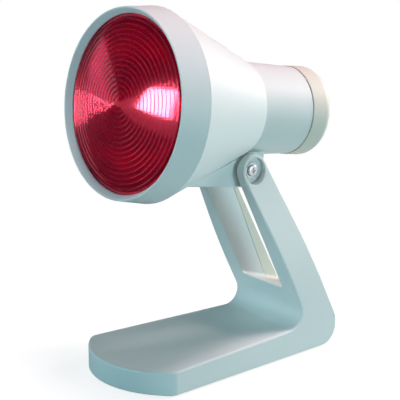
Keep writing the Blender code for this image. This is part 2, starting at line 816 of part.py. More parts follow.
def build_base_screws():
    """The four screws that hold the base plate to the shell's bosses."""
    low = FOOT_STANDOFF
    head_top = low + BASE_SCREW_HEAD_HEIGHT - FIT_GAP
    screw = turned("screw", [
        (0, head_top + BASE_SCREW_LENGTH - BASE_SCREW_HEAD_HEIGHT),
        (BASE_SCREW_RADIUS, head_top + BASE_SCREW_LENGTH - BASE_SCREW_HEAD_HEIGHT),
        (BASE_SCREW_RADIUS, head_top),
        (BASE_SCREW_HEAD_RADIUS, head_top),
        (BASE_SCREW_HEAD_RADIUS, low),
        (0, low),
    ], SCREW_STEPS, closed=False)
    spread_copies(screw, "base_screw", [Matrix.Translation(place) for place in boss_places()])


# Pivot

def on_pivot(thing):
    """Lay a piece that was turned about Z along the pivot's axis, its top toward +X."""
    thing.rotation_euler = (0, math.pi / 2, 0)
    thing.location = pivot
    return thing


def build_pivot():
    """The cross-headed bolt, its nut, and the plain and friction washers on it."""
    seat = recess_seat()
    washer_low = seat + FIT_GAP
    washer_high = washer_low + WASHER_THICKNESS
    head_low = washer_high + FIT_GAP
    head_high = head_low + BOLT_HEAD_HEIGHT
    nut_high = head_low + NUT_HEIGHT
    bolt = on_pivot(turned("pivot_bolt", [
        (0, head_high),
        (BOLT_HEAD_RADIUS - BOLT_HEAD_HEIGHT / 2, head_high),
        (BOLT_HEAD_RADIUS, head_high - BOLT_HEAD_HEIGHT / 2),
        (BOLT_HEAD_RADIUS, head_low),
        (BOLT_RADIUS, head_low),
        (BOLT_RADIUS, -nut_high - BOLT_END_REACH),
        (0, -nut_high - BOLT_END_REACH),
    ], SMALL_STEPS, closed=False))
    for turn in (0, math.pi / 2):
        half_length = BOLT_CROSS_LENGTH / 2
        half_width = BOLT_CROSS_WIDTH / 2
        blade = slab("bolt_cross", [[
            Vector((-half_length, -half_width)),
            Vector((half_length, -half_width)),
            Vector((half_length, half_width)),
            Vector((-half_length, half_width)),
        ]], 2 * BOLT_CROSS_DEPTH)
        blade.data.transform(Matrix.Rotation(turn + FORK_FRONT_LEAN, 4, "Z"))
        blade.data.transform(Matrix.Translation((0, 0, head_high)))
        cut(bolt, as_cutter(on_pivot(blade)))
    finish(bolt, BRIGHT_STEEL)

    corner_radius = NUT_HALF_FLATS / math.cos(math.pi / 6)
    nut = slab("pivot_nut", [circle(corner_radius, 6), circle(BOLT_RADIUS + FIT_GAP)], NUT_HEIGHT)
    nut.data.transform(Matrix.Translation((0, 0, -head_low - NUT_HEIGHT / 2)))
    finish(on_pivot(nut), BRIGHT_STEEL)

    for name, side in (("pivot_washer_right", 1), ("pivot_washer_left", -1)):
        low, high = sorted((side * washer_low, side * washer_high))
        washer = tube(name, WASHER_RADIUS, BOLT_RADIUS + FIT_GAP, low, high)
        finish(on_pivot(washer), BRIGHT_STEEL)
    friction_low = pod_half_width + FIT_GAP
    friction_high = friction_low + FRICTION_THICKNESS
    for name, side in (("friction_washer_right", 1), ("friction_washer_left", -1)):
        low, high = sorted((side * friction_low, side * friction_high))
        washer = tube(name, FRICTION_RADIUS, BOLT_RADIUS + FIT_GAP, low, high)
        finish(on_pivot(washer), NYLON)


# Head: the lamp

def glass_height(radius):
    """Height of the smooth glass dome over the glass plane at a radius."""
    rise = GLASS_CROWN - GLASS_EDGE_STEP
    dome_radius = (rib_field_radius ** 2 + rise ** 2) / (2 * rise)
    return GLASS_CROWN - dome_radius + math.sqrt(dome_radius ** 2 - radius ** 2)


def build_lamp_lens(axis):
    """The red front glass: a shallow dome with concentric ribs, in a flat rim."""
    pitch = (rib_field_radius - RIB_EYE_RADIUS) / RIB_COUNT
    profile = [(0, glass_reach + GLASS_CROWN)]
    for rib in range(RIB_COUNT):
        crest = RIB_EYE_RADIUS + pitch * rib
        valley = crest + pitch / 2
        profile.append((crest, glass_reach + glass_height(crest)))
        profile.append((valley, glass_reach + glass_height(valley) - RIB_DEPTH))
    inside_radius = rib_field_radius - GLASS_THICKNESS
    rim_rear = glass_reach - GLASS_RIM_THICKNESS
    profile += [
        (rib_field_radius, glass_reach + GLASS_EDGE_STEP),
        (rib_field_radius, glass_reach),
        (LAMP_RADIUS, glass_reach),
        (LAMP_RADIUS, rim_rear),
        (inside_radius, rim_rear),
    ]
    profile += [
        (inside_radius * share, glass_reach + glass_height(inside_radius * share) - GLASS_THICKNESS)
        for share in INSIDE_SHARES
    ]
    return finish(turned("lamp_lens", profile, LAMP_STEPS, closed=False), RED_GLASS, axis)


def bowl_outline(inset):
    """The lamp's silvered bowl behind the lens, as (radius, reach) from rim to neck."""
    rim_front = glass_reach - GLASS_RIM_THICKNESS - FIT_GAP
    rim_rear = glass_reach - LAMP_RIM_HEIGHT
    neck_end = screw_cap_front + FIT_GAP
    depth = rim_rear - neck_end
    points = [(LAMP_RADIUS - inset, rim_front), (LAMP_RADIUS - inset, rim_rear)]
    points += [
        (LAMP_RADIUS * radius - inset, rim_rear - depth * drop) for drop, radius in BOWL_SHARES
    ]
    points += [
        (BOWL_NECK_RADIUS - inset, neck_end + depth * NECK_SHARE),
        (BOWL_NECK_RADIUS - inset, neck_end + SCREW_CAP_LENGTH / 4),
        (SCREW_CAP_RADIUS + BOWL_WALL / 2 - inset, neck_end),
    ]
    return points


def build_lamp_bowl(axis):
    """The lamp's bowl, silvered inside, from the lens's rim to the screw cap."""
    profile = bowl_outline(0) + bowl_outline(BOWL_WALL)[::-1]
    return finish(turned("lamp_bowl", profile, LAMP_STEPS), SILVERED_GLASS, axis)


def build_lamp_base(axis):
    """The lamp's screw cap, its glass insulator and its contact tip."""
    cap = tube(
        "lamp_screw_cap", SCREW_CAP_RADIUS, SCREW_CAP_RADIUS - SCREW_CAP_WALL,
        screw_cap_rear, screw_cap_front, SMALL_STEPS)
    finish(cap, NICKEL, axis)
    insulator_front = screw_cap_rear + INSULATOR_HEIGHT
    insulator_rear = screw_cap_rear - INSULATOR_HEIGHT
    seated = SCREW_CAP_RADIUS - SCREW_CAP_WALL - FIT_GAP
    insulator = turned("lamp_insulator", [
        (0, insulator_front),
        (seated, insulator_front),
        (seated, screw_cap_rear),
        (INSULATOR_END_RADIUS, insulator_rear),
        (0, insulator_rear),
    ], SMALL_STEPS, closed=False)
    finish(insulator, BLACK_GLASS, axis)
    tip_front = insulator_rear - FIT_GAP
    tip = turned("lamp_tip", [
        (0, tip_front),
        (TIP_RADIUS, tip_front),
        (TIP_RADIUS, (tip_front + lamp_rear) / 2),
        (TIP_RADIUS / 2, lamp_rear),
        (0, lamp_rear),
    ], SCREW_STEPS, closed=False)
    finish(tip, NICKEL, axis)


def build_filament(axis):
    """The glass stem in the lamp's neck, its two leads and the arched filament across them."""
    stem_low = screw_cap_rear + INSULATOR_HEIGHT + FIT_GAP
    stem_high = stem_low + STEM_LENGTH
    stem = turned("lamp_stem", [
        (0, stem_high),
        (STEM_RADIUS, stem_high),
        (STEM_RADIUS, (stem_low + stem_high) / 2),
        (STEM_FLARE_RADIUS, stem_low),
        (0, stem_low),
    ], SCREW_STEPS, closed=False)
    finish(stem, CLEAR_GLASS, axis)
    lead_low = stem_high + FIT_GAP
    lead_high = lead_low + LEAD_LENGTH
    for name, side in (("lamp_lead_left", -1), ("lamp_lead_right", 1)):
        foot = Vector((side * LEAD_SPREAD, 0, lead_low))
        knee = Vector((side * LEAD_SPREAD, 0, (lead_low + lead_high) / 2))
        tip = Vector((side * FILAMENT_SPAN / 2, 0, lead_high))
        finish(wire(name, [foot, knee, tip], LEAD_RADIUS), NICKEL, axis)
    low = lead_high + LEAD_RADIUS + FIT_GAP
    filament = wire("lamp_filament", [
        Vector((FILAMENT_SPAN / 2 * math.cos(angle), 0, low + FILAMENT_RISE * math.sin(angle)))
        for angle in (math.pi * step / ARC_STEPS for step in range(ARC_STEPS + 1))
    ], FILAMENT_RADIUS)
    finish(filament, TUNGSTEN, axis)


# Head: the housings

def build_bezel(axis):
    """The front ring, whose inner wall slopes in to a lip that holds the glass."""
    lip_rear = glass_reach + FIT_GAP
    profile = [
        (bezel_front_radius - BEZEL_LIP_ROUND, LIP_REACH),
        (bezel_front_radius, LIP_REACH - BEZEL_LIP_ROUND),
        (bezel_rear_radius, bezel_seam),
        (bezel_bore, bezel_seam),
        (bezel_bore, lip_rear),
        (visible_radius, lip_rear),
        (visible_radius, lip_rear + BEZEL_LIP_LAND),
        (bezel_front_radius - BEZEL_FRONT_WALL, LIP_REACH),
    ]
    return finish(turned("front_bezel", profile), WHITE_PLASTIC, axis)


def build_shade_cone(axis):
    """The cone behind the bezel, with a spigot that carries the bezel."""
    front = bezel_seam - SEAM_GAP
    slope = (cone_front_radius - cone_rear_radius) / (front - CONE_REAR_REACH)
    shoulder = front - (cone_front_radius - SHADE_WALL - spigot_inner) / slope
    profile = [
        (spigot_outer, spigot_front),
        (spigot_outer, front),
        (cone_front_radius, front),
        (cone_rear_radius, CONE_REAR_REACH),
        (cone_rear_radius - SHADE_WALL, CONE_REAR_REACH),
        (spigot_inner, shoulder),
        (spigot_inner, spigot_front),
    ]
    return finish(turned("shade_cone", profile), WHITE_PLASTIC, axis)


def build_seat_ring(axis):
    """The heat-proof ring that presses the lamp's rim against the bezel."""
    rim_rear = glass_reach - LAMP_RIM_HEIGHT - FIT_GAP
    ring = tube(
        "lamp_seat_ring", spigot_outer, LAMP_RADIUS - SEAT_RING_WIDTH,
        spigot_front + FIT_GAP, rim_rear, ROUND_STEPS)
    return finish(ring, RUBBER, axis)


def build_neck(axis):
    """The neck behind the cone, with a spigot at each end and the holder's shelf inside."""
    cone_bore = cone_rear_radius - SHADE_WALL
    front_spigot = cone_bore - FIT_GAP
    bore = front_spigot - SPIGOT_WALL
    rear_spigot = cap_radius - SHADE_WALL - FIT_GAP
    rear_bore = rear_spigot - SPIGOT_WALL
    spigot_end = neck_rear - SPIGOT_LENGTH
    shelf_rear = bracket_front + FIT_GAP
    shelf_front = shelf_rear + SHELF_THICKNESS
    profile = [
        (front_spigot, CONE_REAR_REACH + SPIGOT_LENGTH),
        (front_spigot, neck_front),
        (NECK_FRONT_RADIUS, neck_front),
        (NECK_REAR_RADIUS, neck_rear),
        (rear_spigot, neck_rear),
        (rear_spigot, spigot_end),
        (rear_bore, spigot_end),
        (rear_bore, shelf_rear),
        (shelf_inner, shelf_rear),
        (shelf_inner, shelf_front),
        (bore, shelf_front),
        (bore, CONE_REAR_REACH + SPIGOT_LENGTH),
    ]
    neck = turned("neck_housing", profile)
    hole_radius = BRACKET_SCREW_RADIUS + FIT_GAP
    holes = merge_copies(
        "shelf_holes",
        rod("hole", hole_radius, shelf_rear - OVERRUN, shelf_front + OVERRUN, SCREW_STEPS),
        bracket_screw_places())
    cut(neck, as_cutter(holes, axis))
    return finish(neck, WHITE_PLASTIC, axis)


def build_rear_cap(axis):
    """The cap that closes the neck, with a ring of radial vent slots."""
    wall = SHADE_WALL
    inner_edge = CAP_EDGE_RADIUS - wall
    centre = (cap_radius - CAP_EDGE_RADIUS, cap_rear + CAP_EDGE_RADIUS)
    outside = arc(centre, CAP_EDGE_RADIUS, 0, -math.pi / 2, ARC_STEPS)
    inside = arc(centre, inner_edge, -math.pi / 2, 0, ARC_STEPS)
    profile = [(0, cap_rear + wall)]
    profile += [tuple(point) for point in inside]
    profile += [(cap_radius - wall, cap_front), (cap_radius, cap_front)]
    profile += [tuple(point) for point in outside]
    profile.append((0, cap_rear))
    cap = turned("rear_cap", profile, closed=False)
    radius = VENT_WIDTH / 2
    outline = (
        arc((VENT_OUTER_RADIUS - radius, 0), radius, -math.pi / 2, math.pi / 2, VENT_END_STEPS)
        + arc((VENT_INNER_RADIUS + radius, 0), radius, math.pi / 2, 3 * math.pi / 2, VENT_END_STEPS))
    vent = slab("vent", [outline], 2 * OVERRUN)
    vents = merge_copies("cap_vents", vent, [
        Matrix.Translation((0, 0, cap_rear + wall - OVERRUN))
        @ Matrix.Rotation(math.tau * index / VENT_COUNT, 4, "Z")
        for index in range(VENT_COUNT)])
    cut(cap, as_cutter(vents, axis))
    return finish(cap, IVORY_PLASTIC, axis)


def build_pod(head, axis):
    """The bracket under the shade that fills the fork and carries the head on the bolt."""
    rear_reach = POD_DROP
    outline = rounded([
        (-POD_FRONT_REACH, -POD_DROP, 0),
        (rear_reach, -POD_DROP, POD_DROP),
        (rear_reach, AXIS_HEIGHT, 0),
        (-POD_FRONT_REACH, AXIS_HEIGHT, 0),
    ])
    pod = side_slab("pivot_pod", [outline], pod_half_width)
    bevel(pod, POD_EDGE_RADIUS)
    saddle = turned("pod_saddle", [
        (0, bezel_seam),
        (cone_front_radius + FIT_GAP, bezel_seam),
        (cone_rear_radius + FIT_GAP, CONE_REAR_REACH - FIT_GAP),
        (cone_rear_radius + FIT_GAP, neck_rear),
        (0, neck_rear),
    ], closed=False)
    cut(pod, as_cutter(saddle, axis))
    boss_front = -POD_BOSS_RADIUS
    inside = side_slab("pod_hollow", [[
        Vector((-POD_FRONT_REACH + POD_WALL, -POD_DROP + POD_WALL)),
        Vector((boss_front, -POD_DROP + POD_WALL)),
        Vector((boss_front, AXIS_HEIGHT)),
        Vector((-POD_FRONT_REACH + POD_WALL, AXIS_HEIGHT)),
    ]], pod_half_width - POD_WALL)
    cut(pod, as_cutter(inside, head))
    bore = rod(
        "pod_bore", BOLT_RADIUS + POD_BORE_GAP, -OVERRUN - pod_half_width, OVERRUN + pod_half_width)
    bore.rotation_euler = (0, math.pi / 2, 0)
    cut(pod, as_cutter(bore, head))
    return finish(pod, WHITE_PLASTIC, head)


# Head: the lamp holder

def bracket_screw_places():
    """The two screws at the ends of the holder's bracket, either side of the lamp's axis."""
    rear_bore = cap_radius - SHADE_WALL - FIT_GAP - SPIGOT_WALL
    offset = (rear_bore + shelf_inner) / 2
    return [Matrix.Translation((side * offset, 0, 0)) for side in (-1, 1)]


def build_lamp_holder(axis):
    """The ceramic screw holder, its threaded shell, its contact and the bracket that carries it."""
    mouth = screw_cap_front - FIT_GAP
    shoulder = mouth - SOCKET_SHOULDER_HEIGHT
    body = turned("socket_body", [
        (0, socket_floor),
        (socket_bore, socket_floor),
        (socket_bore, mouth),
        (SOCKET_SHOULDER_RADIUS, mouth),
        (SOCKET_SHOULDER_RADIUS, shoulder),
        (SOCKET_RADIUS, shoulder),
        (SOCKET_RADIUS, socket_rear),
        (0, socket_rear),
    ], SMALL_STEPS, closed=False)
    finish(body, CERAMIC, axis)

    shell_outer = socket_bore - FIT_GAP
    shell = tube(
        "socket_shell", shell_outer, shell_outer - SOCKET_SHELL_WALL,
        socket_floor + FIT_GAP, mouth - FIT_GAP, SMALL_STEPS)
    finish(shell, NICKEL, axis)

    contact_low = socket_floor + FIT_GAP
    contact = rod(
        "socket_contact", CONTACT_RADIUS, contact_low, contact_low + CONTACT_THICKNESS - FIT_GAP,
        SCREW_STEPS)
    finish(contact, NICKEL, axis)

    screw_x = bracket_screw_places()[1].translation.x
    half_span = screw_x + BRACKET_SCREW_HEAD_RADIUS
    outline = rounded([
        (-half_span, -BRACKET_HALF_WIDTH, BRACKET_SCREW_HEAD_RADIUS),
        (half_span, -BRACKET_HALF_WIDTH, BRACKET_SCREW_HEAD_RADIUS),
        (half_span, BRACKET_HALF_WIDTH, BRACKET_SCREW_HEAD_RADIUS),
        (-half_span, BRACKET_HALF_WIDTH, BRACKET_SCREW_HEAD_RADIUS),
    ])
    hole_radius = BRACKET_SCREW_RADIUS + FIT_GAP
    holes = [circle(hole_radius, SCREW_STEPS, (side * screw_x, 0)) for side in (-1, 1)]
    bracket = slab("socket_bracket", [outline] + holes, BRACKET_THICKNESS)
    bracket.data.transform(Matrix.Translation((0, 0, (bracket_front + bracket_rear) / 2)))
    finish(bracket, BRIGHT_STEEL, axis)

    head_front = bracket_rear - FIT_GAP
    screw = turned("screw", [
        (0, bracket_front + SHELF_THICKNESS),
        (BRACKET_SCREW_RADIUS, bracket_front + SHELF_THICKNESS),
        (BRACKET_SCREW_RADIUS, head_front),
        (BRACKET_SCREW_HEAD_RADIUS, head_front),
        (BRACKET_SCREW_HEAD_RADIUS, head_front - BRACKET_SCREW_HEAD_HEIGHT),
        (0, head_front - BRACKET_SCREW_HEAD_HEIGHT),
    ], SCREW_STEPS, closed=False)
    spread_copies(screw, "socket_screw", bracket_screw_places(), axis)


def build_head_frame():
    """Empties for the tilting head: one on the pivot, one on the head's own axis."""
    head = new_object("head", None)
    head.location = pivot
    head.rotation_euler = (-REST_TILT, 0, 0)
    axis = new_object("head_axis", None)
    axis.parent = head
    axis.location = (0, 0, AXIS_HEIGHT)
    axis.rotation_euler = (math.pi / 2, 0, 0)
    return head, axis


def build_stand():
    build_stand_shell()
    build_back_cover()
    build_cord_gland()
    build_base_plate()
    build_feet()
    build_base_screws()


def build_head(head, axis):
    build_bezel(axis)
    build_shade_cone(axis)
    build_seat_ring(axis)
    build_neck(axis)
    build_rear_cap(axis)
    build_pod(head, axis)
    build_lamp_lens(axis)
    build_lamp_bowl(axis)
    build_lamp_base(axis)
    build_filament(axis)
    build_lamp_holder(axis)


clear_scene()
parts = new_collection("infrared_lamp")
cutters = new_collection("cutters")
build_stand()
build_pivot()
build_head(*build_head_frame())
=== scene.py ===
# %% [markdown]
# # A table-top infrared heat lamp
#
# A red-glassed lamp looks out of a white moulded shade, and the shade tilts in the fork of a
# one-piece stand. The measured model gives every size and place. This file gives it the surfaces
# that the eye reads: rounded edges, pressed glass, moulded plastic, rubber and plated steel.

# %% Load the measured model
import math

import bmesh
import bpy
from mathutils import Matrix, Vector


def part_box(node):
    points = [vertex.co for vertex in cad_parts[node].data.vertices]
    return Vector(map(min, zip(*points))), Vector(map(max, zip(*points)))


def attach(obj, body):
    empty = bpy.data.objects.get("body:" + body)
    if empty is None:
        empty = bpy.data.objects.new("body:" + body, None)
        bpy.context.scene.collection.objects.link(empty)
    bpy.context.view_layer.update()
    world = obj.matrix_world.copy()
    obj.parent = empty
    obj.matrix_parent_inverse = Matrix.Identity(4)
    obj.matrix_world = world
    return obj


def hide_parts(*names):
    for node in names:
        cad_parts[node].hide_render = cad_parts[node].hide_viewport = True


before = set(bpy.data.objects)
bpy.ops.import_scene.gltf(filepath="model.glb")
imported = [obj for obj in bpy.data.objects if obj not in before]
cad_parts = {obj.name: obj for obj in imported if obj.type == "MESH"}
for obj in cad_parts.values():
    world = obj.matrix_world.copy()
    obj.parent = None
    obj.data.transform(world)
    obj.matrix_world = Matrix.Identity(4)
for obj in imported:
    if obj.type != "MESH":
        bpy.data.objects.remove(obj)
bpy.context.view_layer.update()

# %% [markdown]
# ## The camera
#
# The lamp is seen from its front right and a little above, through a long lens, so that its
# circles are near true ellipses. An angle, a height and a distance are easier to think about than
# a position, so the camera is placed by those three around a point in the middle of the lamp.

# %% Place the camera
CAMERA_AZIMUTH = math.radians(51.55)
CAMERA_ELEVATION = math.radians(16.03)
CAMERA_DISTANCE = 1.351
CAMERA_TARGET = Vector((0, -0.0082, 0.1145))
CAMERA_LENS = 180
SENSOR_WIDTH = 36


def direction(azimuth, elevation):
    """The way from the lamp to a place round it; azimuth 0 is straight in front of the glass."""
    return Vector((
        math.sin(azimuth) * math.cos(elevation),
        -math.cos(azimuth) * math.cos(elevation),
        math.sin(elevation)))


def add_object(name, data):
    thing = bpy.data.objects.new(name, data)
    bpy.context.scene.collection.objects.link(thing)
    return thing


def aim(thing, place, target):
    thing.location = place
    thing.rotation_euler = (target - place).to_track_quat("-Z", "Y").to_euler()


camera = add_object("camera", bpy.data.cameras.new("camera"))
camera.data.lens = CAMERA_LENS
camera.data.sensor_width = SENSOR_WIDTH
towards_camera = direction(CAMERA_AZIMUTH, CAMERA_ELEVATION)
aim(camera, CAMERA_TARGET + towards_camera * CAMERA_DISTANCE, CAMERA_TARGET)
bpy.context.scene.camera = camera
print("camera at", [round(value, 3) for value in camera.location])

# %% [markdown]
# ## Building node trees
#
# Materials and Geometry Nodes are both graphs, so they share their helpers. One adds a node, one
# gives a node its inputs, and one starts a group. A small class stands for a node's output and
# adds a Math node for every sign in a formula, so a tree reads like arithmetic instead of a long
# list of links.

# %% Helpers for node trees
class Value:
    """An output of a node, for use in formulas and as the input of another node."""

    def __init__(self, socket):
        self.socket = socket

    def __getitem__(self, name):
        """Another output of the same node."""
        return Value(self.socket.node.outputs[name])

    def step(self, operation, *terms):
        return math_node(self.socket, operation, self, *terms)

    def __add__(self, other):
        return self.step("ADD", other)

    def __sub__(self, other):
        return self.step("SUBTRACT", other)

    def __rsub__(self, other):
        return math_node(self.socket, "SUBTRACT", other, self)

    def __mul__(self, other):
        return self.step("MULTIPLY", other)

    def __truediv__(self, other):
        return self.step("DIVIDE", other)

    def __pow__(self, other):
        return self.step("POWER", other)


def fill(node, inputs):
    """Give a node's inputs what they take: plain values, outputs of nodes or lists of outputs."""
    for key, value in inputs.items():
        for part in value if isinstance(value, list) else [value]:
            if isinstance(part, Value):
                node.id_data.links.new(part.socket, node.inputs[key])
            else:
                node.inputs[key].default_value = part


def make(tree, kind, inputs=None, **settings):
    """Add a node with its settings and inputs, and return its first output."""
    node = tree.nodes.new(kind)
    for name, value in settings.items():
        setattr(node, name, value)
    fill(node, inputs or {})
    return Value(node.outputs[0])


def math_node(socket, operation, *terms):
    return make(socket.id_data, "ShaderNodeMath", dict(enumerate(terms)), operation=operation)


def new_group(kind, name, inputs, outputs):
    """A node group, its inputs and its output node. A socket has a kind or a starting value."""
    tree = bpy.data.node_groups.new(name, kind)
    for way, sockets in (("INPUT", inputs), ("OUTPUT", outputs)):
        for label, start in sockets.items():
            plain = isinstance(start, float)
            socket = tree.interface.new_socket(
                label, in_out=way, socket_type="NodeSocket" + ("Float" if plain else start))
            if plain:
                socket.default_value = start
    given = Value(tree.nodes.new("NodeGroupInput").outputs[0])
    return tree, given, tree.nodes.new("NodeGroupOutput")


# %% [markdown]
# ## Surface effects that several materials share
#
# Moulded plastic isn't smooth: it takes a fine grain and a shallow waviness from its mould, and
# its colour drifts a little. Hands leave faint smears, and dust settles on what faces up. Each
# effect is built once as a node group, and every material sets its own strength. A painted image
# could do it too, but a procedure has no seams and any resolution.

# %% Node groups for grain and for age
def noise(tree, place, scale, detail, distortion=0.0):
    return make(tree, "ShaderNodeTexNoise", {
        "Vector": place, "Scale": scale, "Detail": detail, "Distortion": distortion})


def build_grain_group():
    tree, given, made = new_group(
        "ShaderNodeTree", "moulded_grain",
        {"Grain Scale": 2600.0, "Wave Scale": 260.0, "Drift Scale": 16.0},
        {"Height": "Float", "Drift": "Float"})
    place = make(tree, "ShaderNodeTexCoord")["Object"]
    fine = noise(tree, place, given["Grain Scale"], 3.0)
    wave = noise(tree, place, given["Wave Scale"], 1.0)
    drift = noise(tree, place, given["Drift Scale"], 4.0)
    fill(made, {"Height": fine * 0.4 + wave * 0.6, "Drift": drift})
    return tree


def build_age_group():
    tree, given, made = new_group(
        "ShaderNodeTree", "handled_surface", {"Smear Scale": 45.0, "Dust Scale": 700.0},
        {"Smear": "Float", "Dust": "Float", "Scratch": "Float"})
    place = make(tree, "ShaderNodeTexCoord")["Object"]
    smear = noise(tree, place, given["Smear Scale"], 5.0, distortion=1.6)
    speck = noise(tree, place, given["Dust Scale"], 2.0)
    stretched = make(tree, "ShaderNodeMapping", {
        "Vector": place, "Rotation": (0.4, 0.9, 0.3), "Scale": (1.0, 14.0, 14.0)})
    scratch = noise(tree, stretched, 60.0, 2.0, distortion=0.3)
    normal = make(tree, "ShaderNodeNewGeometry")["Normal"]
    upward = make(tree, "ShaderNodeSeparateXYZ", {0: normal})["Z"].step("MAXIMUM", 0.0)
    fill(made, {
        "Smear": smear.step("SMOOTH_MAX", 0.45, 0.1), "Dust": upward * speck,
        "Scratch": scratch.step("GREATER_THAN", 0.67)})
    return tree


grain_group = build_grain_group()
age_group = build_age_group()
print("shader groups", grain_group.name, age_group.name)

# %% [markdown]
# ## Opaque finishes
#
# White and ivory plastic, rubber, ceramic and plated steel differ in colour, gloss and grain, and
# not in kind. One function therefore makes them all from a Principled shader. The grain goes
# through a Bump node, and the smears and the drift change the roughness, which is what
# makes a plain surface look touched. Dust settles on all of them but the metals.

# %% A function for opaque finishes
DUST_COLOUR = (0.62, 0.60, 0.56, 1)
DUST_SHARE = 0.05
ROUGHNESS_DRIFT = 0.08
ROUGHNESS_SMEAR = 0.10


def new_material(name):
    material = bpy.data.materials.new(name)
    material.use_nodes = True
    tree = material.node_tree
    return material, tree, tree.nodes["Principled BSDF"]


def mix_colours(tree, share, first, second):
    return make(tree, "ShaderNodeMix", {0: share, 6: first, 7: second}, data_type="RGBA")[2]


def shared_effects(tree, grain_scale, wave_scale, bump_strength, bump_height, smear_scale=45.0):
    """The grain and the marks of age, and the bump that the grain makes."""
    grain = make(tree, "ShaderNodeGroup", {
        "Grain Scale": grain_scale, "Wave Scale": wave_scale}, node_tree=grain_group)
    age = make(tree, "ShaderNodeGroup", {"Smear Scale": smear_scale}, node_tree=age_group)
    bump = make(tree, "ShaderNodeBump", {
        "Height": grain["Height"], "Strength": bump_strength, "Distance": bump_height})
    return grain, age, bump


def opaque_finish(
        name, colour, roughness, metallic=0.0, grain_scale=2600.0, wave_scale=260.0,
        bump_height=0.00003, shade=(0.94, 0.97, 0.97), specular=0.5):
    material, tree, shader = new_material(name)
    grain, age, bump = shared_effects(tree, grain_scale, wave_scale, 0.5, bump_height)
    darker = [value * share for value, share in zip(colour, shade)]
    base = mix_colours(tree, grain["Drift"], (*colour, 1), (*darker, 1))
    dust = age["Dust"] * (0.0 if metallic else DUST_SHARE)
    rough = (grain["Drift"] - 0.5) * ROUGHNESS_DRIFT + roughness
    rough = rough + (age["Smear"] - 0.5) * ROUGHNESS_SMEAR
    rough = rough + age["Scratch"] * (ROUGHNESS_SMEAR / 2)
    fill(shader, {
        "Base Color": mix_colours(tree, dust, base, DUST_COLOUR), "Roughness": rough,
        "Normal": bump, "Metallic": metallic, "Specular IOR Level": specular})
    return material


white_plastic = opaque_finish("white_plastic", (0.835, 0.870, 0.858), 0.44, specular=0.22)
ivory_plastic = opaque_finish(
    "ivory_plastic", (0.82, 0.80, 0.72), 0.44, shade=(0.96, 0.95, 0.90), specular=0.22)
grey_plastic = opaque_finish("grey_plastic", (0.52, 0.55, 0.54), 0.52, bump_height=0.00008)
black_rubber = opaque_finish("black_rubber", (0.035, 0.035, 0.035), 0.72, bump_height=0.0001)
dark_nylon = opaque_finish("dark_nylon", (0.05, 0.055, 0.055), 0.50)
glazed_ceramic = opaque_finish("glazed_ceramic", (0.82, 0.80, 0.74), 0.20, wave_scale=120.0)
black_glass = opaque_finish("black_glass", (0.02, 0.02, 0.022), 0.15)
zinc_steel = opaque_finish(
    "zinc_plated_steel", (0.50, 0.51, 0.53), 0.28, metallic=1.0, grain_scale=5200.0)
nickel = opaque_finish("nickel_plate", (0.68, 0.63, 0.55), 0.30, metallic=1.0)
tungsten = opaque_finish("drawn_tungsten", (0.30, 0.29, 0.28), 0.42, metallic=1.0)
silvering = opaque_finish(
    "silvered_glass", (0.86, 0.86, 0.85), 0.14, metallic=1.0, wave_scale=90.0,
    bump_height=0.00006)
print("opaque finishes", len(bpy.data.materials))

# %% [markdown]
# ## The red glass and the clear glass
#
# The front glass is ruby-coloured through its whole thickness, with ribs pressed into its face.
# Light goes in, meets the silvered bowl behind and comes out again a deeper red. The red is a
# stain baked onto the glass, so a small share of the light is mirrored in red, as by a metal, and
# that share makes the ribs shine. How much is let through, bent and mirrored are plain settings,
# and only the roughness, the colour and the bump vary.

# %% Glass finishes
GLASS_SMEAR = 0.05


def glass_finish(name, colour, deep_colour, roughness, through, refraction, stain=0.0):
    material, tree, shader = new_material(name)
    grain, age, bump = shared_effects(tree, 900.0, 110.0, 0.4, 0.00004, smear_scale=30.0)
    fill(shader, {
        "Base Color": mix_colours(tree, grain["Drift"], (*colour, 1), (*deep_colour, 1)),
        "Roughness": age["Smear"] * GLASS_SMEAR + roughness, "Normal": bump,
        "Transmission Weight": through, "IOR": refraction, "Metallic": stain})
    return material


ruby_glass = glass_finish(
    "ruby_glass", (0.78, 0.010, 0.100), (0.66, 0.006, 0.075), 0.085, 0.85, 1.27, stain=0.15)
clear_glass = glass_finish("clear_glass", (0.92, 0.94, 0.93), (0.88, 0.91, 0.90), 0.02, 1.0, 1.5)
print("glass finishes", ruby_glass.name, clear_glass.name)

# %% [markdown]
# ## Mesh helpers
#
# A finished piece is one plain mesh whose object stays at the origin, so the helpers freeze
# modifiers as they go. A flat outline is a curve that is given a thickness, and a round part is a
# profile with a Screw modifier. Bevels come before the next cut wherever the cut must stay crisp.

# %% Helpers that freeze, clean and cut meshes
MERGE_DISTANCE = 0.000002
SHARP_ANGLE = math.radians(30)
FLAT_ANGLE = math.radians(0.05)


def mesh_piece(name, points, edges=(), faces=()):
    mesh = bpy.data.meshes.new(name)
    mesh.from_pydata(points, edges, faces)
    return add_object(name, mesh)


def settle(piece):
    """Freeze an object's modifiers or curve into a plain mesh, with its place in the mesh."""
    graph = bpy.context.evaluated_depsgraph_get()
    mesh = bpy.data.meshes.new_from_object(piece.evaluated_get(graph), depsgraph=graph)
    mesh.transform(piece.matrix_world)
    name = piece.name
    bpy.data.objects.remove(piece)
    mesh.name = name
    return add_object(name, mesh)


def modify(piece, kind, **settings):
    """Put one modifier on a piece and freeze it."""
    modifier = piece.modifiers.new(kind, kind)
    for name, value in settings.items():
        setattr(modifier, name, value)
    return settle(piece)


